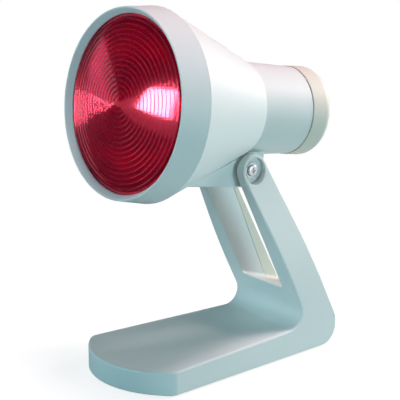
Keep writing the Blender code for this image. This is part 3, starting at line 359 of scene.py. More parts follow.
def clean(piece):
    """Merge stray points, drop edges inside flat faces and turn the faces outward."""
    shape = bmesh.new()
    shape.from_mesh(piece.data)
    bmesh.ops.remove_doubles(shape, verts=shape.verts, dist=MERGE_DISTANCE)
    bmesh.ops.dissolve_limit(
        shape, angle_limit=FLAT_ANGLE, verts=shape.verts, edges=shape.edges)
    bmesh.ops.recalc_face_normals(shape, faces=shape.faces)
    shape.to_mesh(piece.data)
    shape.free()
    return piece


def cut(piece, *others, operation="DIFFERENCE"):
    for other in others:
        piece = modify(piece, "BOOLEAN", operation=operation, solver="MANIFOLD", object=other)
        bpy.data.objects.remove(other)
    return piece


def overlap(piece, *others):
    return cut(piece, *others, operation="INTERSECT")


def bevel(piece, width, segments=4, clamp=False):
    """Round every sharp edge."""
    return clean(modify(
        clean(piece), "BEVEL", width=width, segments=segments, limit_method="ANGLE",
        angle_limit=SHARP_ANGLE, use_clamp_overlap=clamp))


def smooth(piece, weighted=True, sharp_angle=SHARP_ANGLE):
    """Shade curved runs smooth, keep the flats flat."""
    piece.data.shade_smooth()
    piece.data.set_sharp_from_angle(angle=sharp_angle)
    return modify(piece, "WEIGHTED_NORMAL", keep_sharp=True) if weighted else piece


def measure(piece):
    """Print a solid's volume and how many of its edges don't join exactly two faces."""
    shape = bmesh.new()
    shape.from_mesh(piece.data)
    open_edges = sum(1 for edge in shape.edges if len(edge.link_faces) != 2)
    print(f"{piece.name}: {1e6 * shape.calc_volume():.2f} cm3, {open_edges} open edges")
    shape.free()
    return piece


def lay(piece, matrix):
    piece.data.transform(matrix)
    return piece


def dress(piece, body, material, *nodes):
    """Give a piece its finish, set it on its body and let it stand for the measured nodes."""
    piece.data.materials.clear()
    piece.data.materials.append(material)
    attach(piece, body)
    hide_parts(*nodes)
    triangles = sum(len(face.vertices) - 2 for face in piece.data.polygons)
    print(f"{piece.name}: {triangles} triangles, stands for {', '.join(nodes)}")
    return piece


# %% Helpers that draw outlines and make solids of them
OVERRUN = 0.010
FIT_GAP = 0.0003
SEAM_GAP = 0.0004
TURN_STEPS = 192
SMALL_STEPS = 48
ARC_STEPS = 12
SIDE_VIEW = Matrix(((0, 0, 1, 0), (1, 0, 0, 0), (0, 1, 0, 0), (0, 0, 0, 1)))


def arc(centre, radius, start, end, steps=ARC_STEPS):
    """Points along an arc from one angle to another, both ends included."""
    angles = [start + (end - start) * step / steps for step in range(steps + 1)]
    return [
        Vector((centre[0] + radius * math.cos(angle), centre[1] + radius * math.sin(angle)))
        for angle in angles]


def rounded(corners):
    """An outline through corners, where a corner of (a, b, radius) is turned into an arc."""
    outline = []
    count = len(corners)
    for index, (a, b, *radius) in enumerate(corners):
        corner = Vector((a, b))
        if not radius:
            outline.append(corner)
            continue
        before = (Vector(corners[index - 1][:2]) - corner).normalized()
        after = (Vector(corners[(index + 1) % count][:2]) - corner).normalized()
        half_angle = before.angle(after) / 2
        start = corner + before * (radius[0] / math.tan(half_angle))
        centre = corner + (before + after).normalized() * (radius[0] / math.sin(half_angle))
        sweep = before.angle(after) - math.pi
        turn = sweep if before.cross(after) > 0 else -sweep
        for step in range(ARC_STEPS + 1):
            outline.append(
                centre + Matrix.Rotation(turn * step / ARC_STEPS, 2) @ (start - centre))
    return outline


def slab(name, outlines, thickness):
    """A flat outline with its holes, in the XY plane, given half its thickness either side."""
    curve = bpy.data.curves.new(name, "CURVE")
    curve.dimensions = "2D"
    curve.fill_mode = "BOTH"
    curve.extrude = thickness / 2
    for outline in outlines:
        spline = curve.splines.new("POLY")
        spline.points.add(len(outline) - 1)
        for point, (x, y) in zip(spline.points, outline):
            point.co = (x, y, 0, 1)
        spline.use_cyclic_u = True
    return clean(settle(add_object(name, curve)))


def side_slab(name, outline, half_width):
    """A slab drawn in the side view, with its thickness across X."""
    return lay(slab(name, [outline], 2 * half_width), SIDE_VIEW)


def spun(name, profile, steps, closed):
    """A profile of (radius, height) turned about Z."""
    count = len(profile)
    edges = [(index, (index + 1) % count) for index in range(count if closed else count - 1)]
    piece = mesh_piece(name, [(radius, 0, height) for radius, height in profile], edges)
    return modify(
        piece, "SCREW", angle=math.tau, steps=steps, render_steps=steps,
        use_merge_vertices=True, merge_threshold=MERGE_DISTANCE)


def turned(name, profile, steps=TURN_STEPS):
    """A cleaned solid from a ring's closed profile, or from an open one that starts on the axis."""
    return clean(spun(name, profile, steps, closed=profile[0][0] > 0))


def rod(name, radius, low, high, steps=SMALL_STEPS):
    return turned(name, [(0, high), (radius, high), (radius, low), (0, low)], steps)


def round_part(name, node, body, finish, place, corners, steps=TURN_STEPS):
    """Turn a profile with rounded corners, lay it in its place and dress it."""
    dress(smooth(lay(turned(name, rounded(corners), steps), place)), body, finish, node)


# %% [markdown]
# ## Where the head is
#
# The shade, its neck and the lamp are round about one axis, which is tilted in the fork. They are
# made upright about Z, with their height counted forward from the pivot, and one matrix lays them
# on that axis. The pivot's place is read off the bolt of the measured model.

# %% The pivot and the head's axis
REST_TILT = math.radians(10)
AXIS_HEIGHT = 0.0381

bolt_near, bolt_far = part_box("pivot_bolt")
pivot = (bolt_near + bolt_far) / 2
pivot.x = 0
pod_place = Matrix.Translation(pivot) @ Matrix.Rotation(-REST_TILT, 4, "X")
head_place = (
    pod_place @ Matrix.Translation((0, 0, AXIS_HEIGHT)) @ Matrix.Rotation(math.pi / 2, 4, "X"))
bolt_place = Matrix.Translation(pivot) @ Matrix.Rotation(math.pi / 2, 4, "Y")
print("pivot in mm", [round(1000 * value, 2) for value in pivot])

# %% [markdown]
# ## The stand's outlines
#
# The stand is an L: a flat foot, a tight heel and an upright that leans forward to the pivot. Its
# side view is one outline with filleted corners, and its plan view narrows to the rear behind a
# bulging front edge. The two are drawn from the sizes of the measured model.

# %% Sizes and outlines of the stand
BASE_DEPTH = 0.1776
FRONT_BULGE = 0.0223
FRONT_CORNER_RADIUS = 0.0080
PLAN_TAPER = math.tan(math.radians(5.2))
FOOT_STANDOFF = 0.0010
FRONT_HEIGHT = 0.0172
REAR_HEIGHT = 0.0192
INNER_FILLET_RADIUS = 0.0110
HEEL_BEND_RADIUS = 0.0080
HEEL_BEND_HEIGHT = 0.02026
HEEL_RADIUS = 0.0130
FORK_END_RADIUS = 0.0114
FRONT_LEAN = math.radians(25.4)
REAR_LEAN = math.radians(26.9)
SIDE_LEAN_START = 0.0450
SIDE_LEAN_END = 0.0950
SIDE_LEAN = math.tan(math.radians(9.6))
WINDOW_HALF_WIDTH = 0.0218
ARM_THICKNESS = 0.0060
STAND_WALL = 0.0024
POINT_SPACING = 0.0006
LEAN_CUTS = 6
LEAN_FROM_MIDDLE = 0.020

base_front = -BASE_DEPTH / 2
base_rear = BASE_DEPTH / 2
plate_rear = base_rear - HEEL_RADIUS
front_corner_y = base_front + FRONT_BULGE
base_slope = (REAR_HEIGHT - FRONT_HEIGHT) / (pivot.y - base_front)
lean_ramp = SIDE_LEAN_END - SIDE_LEAN_START


def side_lean(z):
    """How far the stand's sides have come in at a height."""
    climbed = min(max(z - SIDE_LEAN_START, 0), lean_ramp)
    return SIDE_LEAN * (climbed ** 2 / (2 * lean_ramp) + max(z - SIDE_LEAN_END, 0))


arm_outside = WINDOW_HALF_WIDTH + ARM_THICKNESS
front_half_width = arm_outside + PLAN_TAPER * (pivot.y - front_corner_y) + side_lean(pivot.z)
bulge_radius = (front_half_width ** 2 + FRONT_BULGE ** 2) / (2 * FRONT_BULGE)


def base_top(y):
    return FRONT_HEIGHT + base_slope * (y - base_front)


def front_line(z, inset=0):
    """Y of the upright's front face at a height."""
    return pivot.y - ((FORK_END_RADIUS - inset) / math.cos(FRONT_LEAN)
                      + (z - pivot.z) * math.tan(FRONT_LEAN))


def rear_line(z, inset=0):
    """Y of the upright's rear face at a height."""
    return pivot.y + ((FORK_END_RADIUS - inset) / math.cos(REAR_LEAN)
                      - (z - pivot.z) * math.tan(REAR_LEAN))


def crotch(drop=0, inset=0):
    """Where the foot's top face meets the upright's front face."""
    lean = math.tan(FRONT_LEAN)
    level = FRONT_HEIGHT - drop
    z = (level + base_slope * (front_line(0, inset) - base_front)) / (1 + base_slope * lean)
    return front_line(z, inset), z


def stand_side_outline():
    fork_end = arc(
        (pivot.y, pivot.z), FORK_END_RADIUS, REAR_LEAN, math.pi + FRONT_LEAN, 4 * ARC_STEPS)
    lower = rounded([
        (front_line(pivot.z), pivot.z),
        (*crotch(), INNER_FILLET_RADIUS),
        (base_front, base_top(base_front)),
        (base_front, FOOT_STANDOFF),
        (base_rear, FOOT_STANDOFF, HEEL_RADIUS),
        (base_rear, HEEL_BEND_HEIGHT, HEEL_BEND_RADIUS),
        (rear_line(pivot.z), pivot.z)])
    return fork_end + lower[1:-1]


def plan_outline(inset, rear_y):
    """Half of the plan view, from the middle of the front edge to the rear corner at X > 0."""
    half_width = front_half_width - inset
    arc_centre = base_front + bulge_radius
    front_radius = bulge_radius - inset
    corner_y = arc_centre - math.sqrt(front_radius ** 2 - half_width ** 2)
    rear_half_width = half_width - PLAN_TAPER * (rear_y - corner_y)
    sweep = math.asin(half_width / front_radius)
    front = arc((0, arc_centre), front_radius, -math.pi / 2, sweep - math.pi / 2, 4 * ARC_STEPS)
    front[0].x = 0
    corner = Vector((half_width, corner_y))
    before = (front[-2] - corner).normalized()
    after = Vector((-PLAN_TAPER, 1)).normalized()
    radius = FRONT_CORNER_RADIUS - inset
    reach = radius / math.tan(before.angle(after) / 2)
    kept = [point for point in front if (point - corner).length > reach + POINT_SPACING]
    ahead = corner + (kept[-1] - corner).normalized() * (2 * reach)
    turned_corner = rounded([ahead, (*corner, radius), (rear_half_width, rear_y)])
    return kept + turned_corner[1:]


def plan_solid(name, inset, low, high, rear_y=base_rear):
    """The plan view drawn up between two heights, with its sides leaning in, both halves."""
    half = plan_outline(inset, rear_y)
    outline = half + [Vector((-point.x, point.y)) for point in half[:0:-1]]
    cuts = [SIDE_LEAN_START + lean_ramp * step / LEAN_CUTS for step in range(LEAN_CUTS + 1)]
    levels = [low] + [level for level in cuts if low < level < high] + [high]
    places = []
    for level in levels:
        for x, y in outline:
            share = min(abs(x) / LEAN_FROM_MIDDLE, 1)
            places.append((math.copysign(abs(x) - share * side_lean(level), x), y, level))
    count = len(outline)
    top = (len(levels) - 1) * count
    faces = [tuple(range(count - 1, -1, -1)), tuple(range(top, top + count))]
    for start in range(0, top, count):
        for index in range(count):
            near = start + index
            after = start + (index + 1) % count
            faces.append((near, after, after + count, near + count))
    return mesh_piece(name, places, faces=faces)


print("stand half width in front, mm", round(1000 * front_half_width, 3))

# %% [markdown]
# ## The window and the hollow
#
# A window runs through the upright between the fork's arms, and its sill falls to the rear.
# Behind and below, the shell is hollow. Both are cutters: solids that are made only to be taken
# away from the stand.

# %% Cutters for the stand
WINDOW_SILL_HEIGHT = 0.0460
WINDOW_CORNER_RADIUS = 0.0025
SILL_FALL = math.tan(math.radians(18.5))
COVER_TOP_HEIGHT = 0.1200
COVER_TOP_THICKNESS = 0.0031
PARTING_LEAN = math.radians(22.7)
above_fork = pivot.z + FORK_END_RADIUS + OVERRUN


def parting_line(z, inset=0):
    """Y of the line in the side view where the back cover meets the shell."""
    top = rear_line(COVER_TOP_HEIGHT, COVER_TOP_THICKNESS)
    return top + (COVER_TOP_HEIGHT - z) * math.tan(PARTING_LEAN) + inset


def sill_drop(y):
    return SILL_FALL * (y - front_line(WINDOW_SILL_HEIGHT))


def under_sill(y, thickness):
    """Height of the underside of the window's sill wall."""
    return WINDOW_SILL_HEIGHT - sill_drop(y) - thickness / math.cos(math.atan(SILL_FALL))


def sill_end(thickness):
    """Where the underside of the sill wall meets the parting line."""
    z = under_sill(parting_line(0), thickness) / (1 - SILL_FALL * math.tan(PARTING_LEAN))
    return parting_line(z), z


def window_cutter():
    outline = rounded([
        (-WINDOW_HALF_WIDTH, above_fork),
        (-WINDOW_HALF_WIDTH, WINDOW_SILL_HEIGHT, WINDOW_CORNER_RADIUS),
        (WINDOW_HALF_WIDTH, WINDOW_SILL_HEIGHT, WINDOW_CORNER_RADIUS),
        (WINDOW_HALF_WIDTH, above_fork)])
    piece = slab("window", [outline], BASE_DEPTH + 2 * OVERRUN)
    lay(piece, Matrix.Rotation(math.pi / 2, 4, "X"))
    for vertex in piece.data.vertices:
        if vertex.co.z < above_fork - OVERRUN:
            vertex.co.z -= sill_drop(vertex.co.y)
    return piece


def hollow_outline():
    """The hollow inside the stand, open below and behind, in the side view."""
    ceiling_front = front_line(under_sill(front_line(WINDOW_SILL_HEIGHT), STAND_WALL), STAND_WALL)
    heel = arc(
        (plate_rear, FOOT_STANDOFF + HEEL_RADIUS), HEEL_RADIUS - STAND_WALL, 0, -math.pi / 2)
    return [
        (base_front + STAND_WALL, FOOT_STANDOFF - OVERRUN),
        (base_front + STAND_WALL, base_top(base_front) - STAND_WALL),
        crotch(STAND_WALL, STAND_WALL),
        (ceiling_front, under_sill(ceiling_front, STAND_WALL)),
        sill_end(STAND_WALL),
        (parting_line(COVER_TOP_HEIGHT), COVER_TOP_HEIGHT),
        (rear_line(COVER_TOP_HEIGHT) + OVERRUN, COVER_TOP_HEIGHT),
        (base_rear + OVERRUN, HEEL_BEND_HEIGHT),
        (base_rear - STAND_WALL, HEEL_BEND_HEIGHT),
        *heel,
        (plate_rear, FOOT_STANDOFF - OVERRUN)]


# %% [markdown]
# ## The stand
#
# The outer form is the side view's slab, cut to the plan view's solid. Its outer edges are
# rounded first, with a wide soft bevel. Then the window and the two bolt recesses are cut and
# their own edges get a narrow bevel, and last comes the hollow, whose edges stay as cut. In this
# order each edge of the real moulding gets its own radius. Four bosses stay in the hollow for the
# base plate's screws, and each gets its pilot hole.

# %% Build the stand
OUTER_EDGE_RADIUS = 0.0015
WINDOW_EDGE_RADIUS = 0.0005
RECESS_EDGE_RADIUS = 0.00035
RECESS_RADIUS = 0.0091
RECESS_DEPTH = 0.0046
BOLT_RADIUS = 0.0024
BOSS_RADIUS = 0.0038
BOSS_START = 0.0037
PILOT_RADIUS = 0.0016
PILOT_END = 0.0083
ROUND_STEPS = 96
recess_seat = arm_outside - RECESS_DEPTH
screw_nodes = [f"base_screw_{number}" for number in range(1, 5)]


def under(node):
    """The point under the middle of a measured node."""
    low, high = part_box(node)
    return Vector(((low.x + high.x) / 2, (low.y + high.y) / 2, low.z))


def boss_rods(radius, low, high):
    """One rod over each of the base plate's screws."""
    for x, y, _ in map(under, screw_nodes):
        yield lay(rod("boss", radius, low, high), Matrix.Translation((x, y, 0)))


def recess_rods():
    for quarter in (-math.pi / 2, math.pi / 2):
        recess = rod("recess", RECESS_RADIUS, recess_seat, 2 * front_half_width, ROUND_STEPS)
        yield lay(recess, Matrix.Translation(pivot) @ Matrix.Rotation(quarter, 4, "Y"))


def bolt_bore(gap):
    return lay(rod("bore", BOLT_RADIUS + gap, -BASE_DEPTH, BASE_DEPTH), bolt_place)


def build_stand():
    width = 2 * front_half_width
    stand = side_slab("stand_moulding", stand_side_outline(), width)
    stand = overlap(stand, plan_solid("plan", 0, FOOT_STANDOFF - OVERRUN, above_fork))
    stand = measure(bevel(stand, OUTER_EDGE_RADIUS, 6))
    stand = measure(bevel(cut(stand, window_cutter()), WINDOW_EDGE_RADIUS))
    stand = measure(bevel(cut(stand, *recess_rods()), RECESS_EDGE_RADIUS, 3))
    room = plan_solid("room", STAND_WALL, FOOT_STANDOFF - 2 * OVERRUN, above_fork)
    hollow = overlap(side_slab("hollow", hollow_outline(), width), room)
    hollow = cut(hollow, *boss_rods(BOSS_RADIUS, BOSS_START, REAR_HEIGHT))
    stand = measure(cut(stand, hollow))
    pilots = boss_rods(PILOT_RADIUS, FOOT_STANDOFF, PILOT_END)
    return smooth(measure(clean(cut(stand, *pilots, bolt_bore(FIT_GAP)))))


dress(build_stand(), "stand", white_plastic, "stand_shell")

# %% [markdown]
# ## The back cover
#
# An ivory wedge closes the upright from behind and shows inside the window, behind a parting
# line. It is cut from the same outlines as the stand, less a clearance, so the seam
# between the two is even all along.

# %% Build the back cover
COVER_WALL = 0.0022
COVER_EDGE_RADIUS = 0.0005
GLAND_RADIUS = 0.0038
GLAND_HEIGHT = 0.0270
GLAND_DEPTH = 0.0045
gland_place = (
    Matrix.Translation((0, rear_line(GLAND_HEIGHT), GLAND_HEIGHT))
    @ Matrix.Rotation(REAR_LEAN - math.pi / 2, 4, "X"))


def build_back_cover():
    bend = HEEL_BEND_HEIGHT + FIT_GAP
    top = COVER_TOP_HEIGHT - FIT_GAP
    low = bend - OVERRUN
    width = 2 * front_half_width
    gap = FIT_GAP / math.cos(PARTING_LEAN)
    inner_front = parting_line(bend) - OVERRUN
    cover = side_slab("back_cover_moulding", [
        (parting_line(bend, gap), bend), (base_rear + OVERRUN, bend),
        (base_rear + OVERRUN, top), (parting_line(top, gap), top)], width)
    outside = side_slab("outside", stand_side_outline(), 2 * width)
    room = plan_solid("room", STAND_WALL + FIT_GAP, 0, top + OVERRUN)
    cover = bevel(cut(overlap(cover, outside, room), window_cutter()), COVER_EDGE_RADIUS, 3)
    inside = side_slab("inside", [
        (inner_front, low), (rear_line(low, COVER_WALL), low),
        (rear_line(WINDOW_SILL_HEIGHT, COVER_WALL), WINDOW_SILL_HEIGHT),
        (inner_front, WINDOW_SILL_HEIGHT)], width)
    ceiling = side_slab("ceiling", [
        (0, under_sill(0, COVER_WALL)), (0, -OVERRUN), (BASE_DEPTH, -OVERRUN),
        (BASE_DEPTH, under_sill(BASE_DEPTH, COVER_WALL))], width)
    inner_room = plan_solid("inner_room", STAND_WALL + FIT_GAP + COVER_WALL, 0, top)
    hole = lay(rod("gland_hole", GLAND_RADIUS + FIT_GAP, -GLAND_DEPTH, OVERRUN), gland_place)
    return smooth(clean(cut(cover, overlap(inside, ceiling, inner_room), hole)))


dress(build_back_cover(), "stand", ivory_plastic, "back_cover")

# %% [markdown]
# ## The cord's inlet
#
# The lamp's cord would leave through a rubber sleeve in the back cover. It is a turned part with
# a rounded flange outside and a rounded mouth, so a profile with filleted corners is enough.

# %% Build the inlet's sleeve
GLAND_BORE_RADIUS = 0.0029
GLAND_FLANGE_RADIUS = 0.0052
GLAND_FLANGE_THICKNESS = 0.0010
FLANGE_ROUND = 0.0004
flange_top = FIT_GAP + GLAND_FLANGE_THICKNESS

round_part("inlet_sleeve", "cord_gland", "stand", black_rubber, gland_place, [
    (GLAND_FLANGE_RADIUS, flange_top, FLANGE_ROUND), (GLAND_FLANGE_RADIUS, FIT_GAP),
    (GLAND_RADIUS, FIT_GAP), (GLAND_RADIUS, -GLAND_DEPTH), (GLAND_BORE_RADIUS, -GLAND_DEPTH),
    (GLAND_BORE_RADIUS, flange_top, FLANGE_ROUND)], ROUND_STEPS)

# %% [markdown]
# ## Screws and feet by Geometry Nodes
#
# Four equal screws hold the base plate, and four equal feet carry the lamp. Each set is a rule:
# one shape at four points. A small tree puts a copy of an object on every vertex of the
# mesh it is given, realizes the copies and sets their material. The points come from the measured
# nodes, so every copy lands where the model has it.

# %% A tree that sets out copies
def geometry_group(name, inputs):
    return new_group(
        "GeometryNodeTree", name, {"Geometry": "Geometry", **inputs, "Finish": "Material"},
        {"Geometry": "Geometry"})


def end_group(tree, geometry, given, made):
    """Realize the geometry, give it its finish and hand it out."""
    real = make(tree, "GeometryNodeRealizeInstances", {0: geometry})
    fill(made, {0: make(tree, "GeometryNodeSetMaterial", {0: real, "Material": given["Finish"]})})
    return tree


def vector(tree, **parts):
    return make(tree, "ShaderNodeCombineXYZ", parts)


def build_copies_tree():
    tree, given, made = geometry_group("set_out_copies", {"Shape": "Object", "Turn": "Float"})
    copies = make(tree, "GeometryNodeInstanceOnPoints", {
        "Points": given["Geometry"],
        "Instance": make(tree, "GeometryNodeObjectInfo", {"Object": given["Shape"]})["Geometry"],
        "Rotation": vector(tree, Z=make(tree, "GeometryNodeInputIndex") * given["Turn"])})
    return end_group(tree, copies, given, made)


def grow(piece, tree, values):
    """Run a Geometry Nodes tree on a piece, with its inputs set by identifier, and freeze it."""
    modifier = piece.modifiers.new(tree.name, "NODES")
    modifier.node_group = tree
    for item in tree.interface.items_tree:
        if item.in_out == "INPUT" and item.name in values:
            modifier[item.identifier] = values[item.name]
    return settle(piece)


copies_tree = build_copies_tree()
print("tree", copies_tree.name)

# %% The base plate's screws and the feet
SCREW_RADIUS = 0.0013
SCREW_HEAD_RADIUS = 0.0026
SCREW_HEAD_HEIGHT = 0.0012
SCREW_LENGTH = 0.0070
SCREW_TURN = 0.7
SCREW_STEPS = 32
SCREW_CROSS_LENGTH = 0.00286
SCREW_CROSS_WIDTH = 0.0006
SCREW_CROSS_DEPTH = 0.0006
CROSS_TAPER = 0.55
FOOT_RADIUS = 0.0060
FOOT_HEIGHT = 0.0019
FOOT_ROUND = 0.0006
FOOT_STEPS = 64


def cross_recess(piece, top, length, width, depth):
    """Cut a cross with two blades, each wide at the top and narrower at its floor."""
    x = length / 2
    y = width / 2
    for quarter in (0, math.pi / 2):
        blade = slab("blade", [[(-x, -y), (x, -y), (x, y), (-x, y)]], 2 * depth)
        for vertex in blade.data.vertices:
            if vertex.co.z < 0:
                vertex.co.xy *= CROSS_TAPER
        place = Matrix.Translation((0, 0, top)) @ Matrix.Rotation(quarter, 4, "Z")
        piece = cut(piece, lay(blade, place))
    return piece


def build_screw():
    """A pan-head screw with its head down, as it sits in the plate seen from below."""
    height = SCREW_HEAD_HEIGHT - FIT_GAP
    end = SCREW_LENGTH - FIT_GAP
    profile = rounded([
        (0, end), (SCREW_RADIUS, end), (SCREW_RADIUS, height), (SCREW_HEAD_RADIUS, height),
        (SCREW_HEAD_RADIUS, 0, height / 2), (0, 0)])
    turn_over = Matrix.Rotation(math.pi, 4, "X")
    screw = lay(turned("screw", profile, SCREW_STEPS), turn_over)
    screw = cross_recess(screw, 0, SCREW_CROSS_LENGTH, SCREW_CROSS_WIDTH, SCREW_CROSS_DEPTH)
    return smooth(clean(lay(screw, turn_over)), weighted=False)


def set_out(name, shape, nodes, turn, finish):
    piece = grow(mesh_piece(name, list(map(under, nodes))), copies_tree, {
        "Shape": shape, "Turn": turn, "Finish": finish})
    bpy.data.objects.remove(shape)
    dress(piece, "stand", finish, *nodes)


foot_nodes = [f"foot_{end}_{side}" for end in ("front", "rear") for side in ("left", "right")]
foot = turned("foot", rounded([
    (0, FOOT_HEIGHT), (FOOT_RADIUS, FOOT_HEIGHT), (FOOT_RADIUS, 0, FOOT_ROUND), (0, 0)]),
    FOOT_STEPS)
set_out("plate_screws", build_screw(), screw_nodes, SCREW_TURN, zinc_steel)
set_out("rubber_feet", smooth(foot, weighted=False), foot_nodes, 0.0, black_rubber)

# %% [markdown]
# ## The pivot
#
# A cross-headed bolt lies in the round recess of the right arm, with a washer under its head, and
# a nut and a second washer hold it in the left arm. Two dark washers run between the arms and the
# pod. The bolt's head is small, but it is the brightest metal on the lamp, so it gets a domed
# profile and a real cross recess.

# %% Build the pivot's hardware
BOLT_HEAD_RADIUS = 0.0040
BOLT_HEAD_HEIGHT = 0.0014
BOLT_DOME_ROUND = 0.0010
BOLT_HEAD_ROUND = 0.0002
BOLT_END_ROUND = 0.0005
NUT_HALF_FLATS = 0.0040
NUT_HEIGHT = 0.0022
NUT_CHAMFER = 0.0004
BOLT_END_REACH = 0.0006
WASHER_RADIUS = 0.0052
WASHER_THICKNESS = 0.0006
WASHER_ROUND = 0.00015
FRICTION_RADIUS = 0.0095
FRICTION_THICKNESS = 0.0010
CROSS_LENGTH = 0.0050
CROSS_WIDTH = 0.0011
CROSS_DEPTH = 0.0009
washer_low = recess_seat + FIT_GAP
head_low = washer_low + WASHER_THICKNESS + FIT_GAP
head_high = head_low + BOLT_HEAD_HEIGHT
pod_half_width = WINDOW_HALF_WIDTH - 2 * FIT_GAP - FRICTION_THICKNESS


def build_bolt():
    end = -(head_low + NUT_HEIGHT + BOLT_END_REACH)
    profile = rounded([
        (0, head_high), (BOLT_HEAD_RADIUS, head_high, BOLT_DOME_ROUND),
        (BOLT_HEAD_RADIUS, head_low, BOLT_HEAD_ROUND), (BOLT_RADIUS, head_low),
        (BOLT_RADIUS, end, BOLT_END_ROUND), (0, end)])
    bolt = turned("tilt_bolt", profile, ROUND_STEPS)
    bolt = lay(bolt, Matrix.Rotation(FRONT_LEAN, 4, "Z"))
    bolt = cross_recess(bolt, head_high, CROSS_LENGTH, CROSS_WIDTH, CROSS_DEPTH)
    return smooth(lay(clean(bolt), bolt_place), weighted=False)


def build_nut():
    corner_radius = NUT_HALF_FLATS / math.cos(math.pi / 6)
    hexagon = arc((0, 0), corner_radius, 0, math.tau, 6)[:-1]
    hole = arc((0, 0), BOLT_RADIUS + FIT_GAP, 0, math.tau, SMALL_STEPS)[:-1]
    half = NUT_HEIGHT / 2
    profile = [
        (0, half), (NUT_HALF_FLATS, half), (corner_radius, half - NUT_CHAMFER),
        (corner_radius, NUT_CHAMFER - half), (NUT_HALF_FLATS, -half), (0, -half)]
    chamfer = turned("chamfer", profile, ROUND_STEPS)
    nut = overlap(slab("tilt_nut", [hexagon, hole], NUT_HEIGHT), chamfer)
    return smooth(lay(clean(nut), bolt_place @ Matrix.Translation((0, 0, -head_low - half))))


def add_washers(name, node, radius, thickness, low, finish):
    """The same washer on the right and on the left."""
    inner = BOLT_RADIUS + FIT_GAP
    for side, start in (("right", low), ("left", -low - thickness)):
        end = start + thickness
        round_part(f"{name}_{side}", f"{node}_{side}", "stand", finish, bolt_place, [
            (radius, end, WASHER_ROUND), (radius, start, WASHER_ROUND),
            (inner, start, WASHER_ROUND), (inner, end, WASHER_ROUND)], ROUND_STEPS)


dress(build_bolt(), "stand", zinc_steel, "pivot_bolt")
dress(build_nut(), "stand", zinc_steel, "pivot_nut")
add_washers(
    "tilt_washer", "pivot_washer", WASHER_RADIUS, WASHER_THICKNESS, washer_low, zinc_steel)
add_washers(
    "grip_washer", "friction_washer", FRICTION_RADIUS, FRICTION_THICKNESS,
    pod_half_width + FIT_GAP, dark_nylon)

# %% [markdown]
# ## The shade
#
# The shade is three turned mouldings. The bezel is a deep ring whose inner wall slopes in to the
# glass, the cone narrows behind it, and the neck carries the lamp holder. Each is a profile with
# its own small fillets, spun about the head's axis. The thin gaps between them are
# the seams that the eye sees.

# %% Sizes of the head
LIP_REACH = 0.0987
BEZEL_LENGTH = 0.0218
CONE_REAR_REACH = 0.0014
NECK_LENGTH = 0.0438
CAP_LENGTH = 0.0185
LAMP_RADIUS = 0.0608
GLASS_RECESS = 0.0052
GLASS_LIP_OVERLAP = 0.0018
BEZEL_BORE_GAP = 0.0012
BEZEL_FRONT_WALL = 0.0010
BEZEL_REAR_WALL = 0.0028
BEZEL_LIP_LAND = 0.0008
SHADE_WALL = 0.0022
SPIGOT_WALL = 0.0016
SPIGOT_LENGTH = 0.0050
NECK_FRONT_RADIUS = 0.0318
NECK_REAR_RADIUS = 0.0301
CONE_REAR_STEP = 0.0008
CAP_STEP = 0.0005
SHELF_CLEARANCE = 0.0015

visible_radius = LAMP_RADIUS - GLASS_LIP_OVERLAP
glass_reach = LIP_REACH - GLASS_RECESS
bezel_seam = LIP_REACH - BEZEL_LENGTH
bezel_bore = LAMP_RADIUS + BEZEL_BORE_GAP
bezel_front_radius = bezel_bore + BEZEL_FRONT_WALL
bezel_rear_radius = bezel_bore + BEZEL_REAR_WALL
cone_front_radius = bezel_rear_radius - SEAM_GAP
cone_rear_radius = NECK_FRONT_RADIUS + CONE_REAR_STEP
neck_rear = CONE_REAR_REACH - NECK_LENGTH
cap_front = neck_rear - SEAM_GAP
cap_rear = neck_rear - CAP_LENGTH
cap_radius = NECK_REAR_RADIUS + CAP_STEP
print("bezel radius in front and behind, mm", [
    round(1000 * radius, 1) for radius in (bezel_front_radius, bezel_rear_radius)])

# %% Build the bezel, the cone and the neck
LIP_ROUND = 0.00045
SEAM_ROUND = 0.0004
CONE_REAR_ROUND = 0.0009


def reach_and_radius(node):
    """How far forward a measured node of the head goes, and how wide it is."""
    points = [head_place.inverted() @ vertex.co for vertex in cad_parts[node].data.vertices]
    return max(point.z for point in points), max(point.xy.length for point in points)


lip_rear = glass_reach + FIT_GAP
round_part("front_ring", "front_bezel", "head", white_plastic, head_place, [
    (bezel_front_radius, LIP_REACH, LIP_ROUND),
    (bezel_rear_radius, bezel_seam, SEAM_ROUND),
    (bezel_bore, bezel_seam),
    (bezel_bore, lip_rear),
    (visible_radius, lip_rear),
    (visible_radius, lip_rear + BEZEL_LIP_LAND, SEAM_ROUND),
    (bezel_bore, LIP_REACH, LIP_ROUND)])

spigot_outer = bezel_bore - FIT_GAP
spigot_inner = spigot_outer - SPIGOT_WALL
cone_front = bezel_seam - SEAM_GAP
cone_slope = (cone_front_radius - cone_rear_radius) / (cone_front - CONE_REAR_REACH)
round_part("shade_moulding", "shade_cone", "head", white_plastic, head_place, [
    (spigot_outer, bezel_seam + SPIGOT_LENGTH),
    (spigot_outer, cone_front),
    (cone_front_radius, cone_front, SEAM_ROUND),
    (cone_rear_radius, CONE_REAR_REACH, CONE_REAR_ROUND),
    (cone_rear_radius - SHADE_WALL, CONE_REAR_REACH),
    (spigot_inner, cone_front - (cone_front_radius - SHADE_WALL - spigot_inner) / cone_slope),
    (spigot_inner, bezel_seam + SPIGOT_LENGTH)])

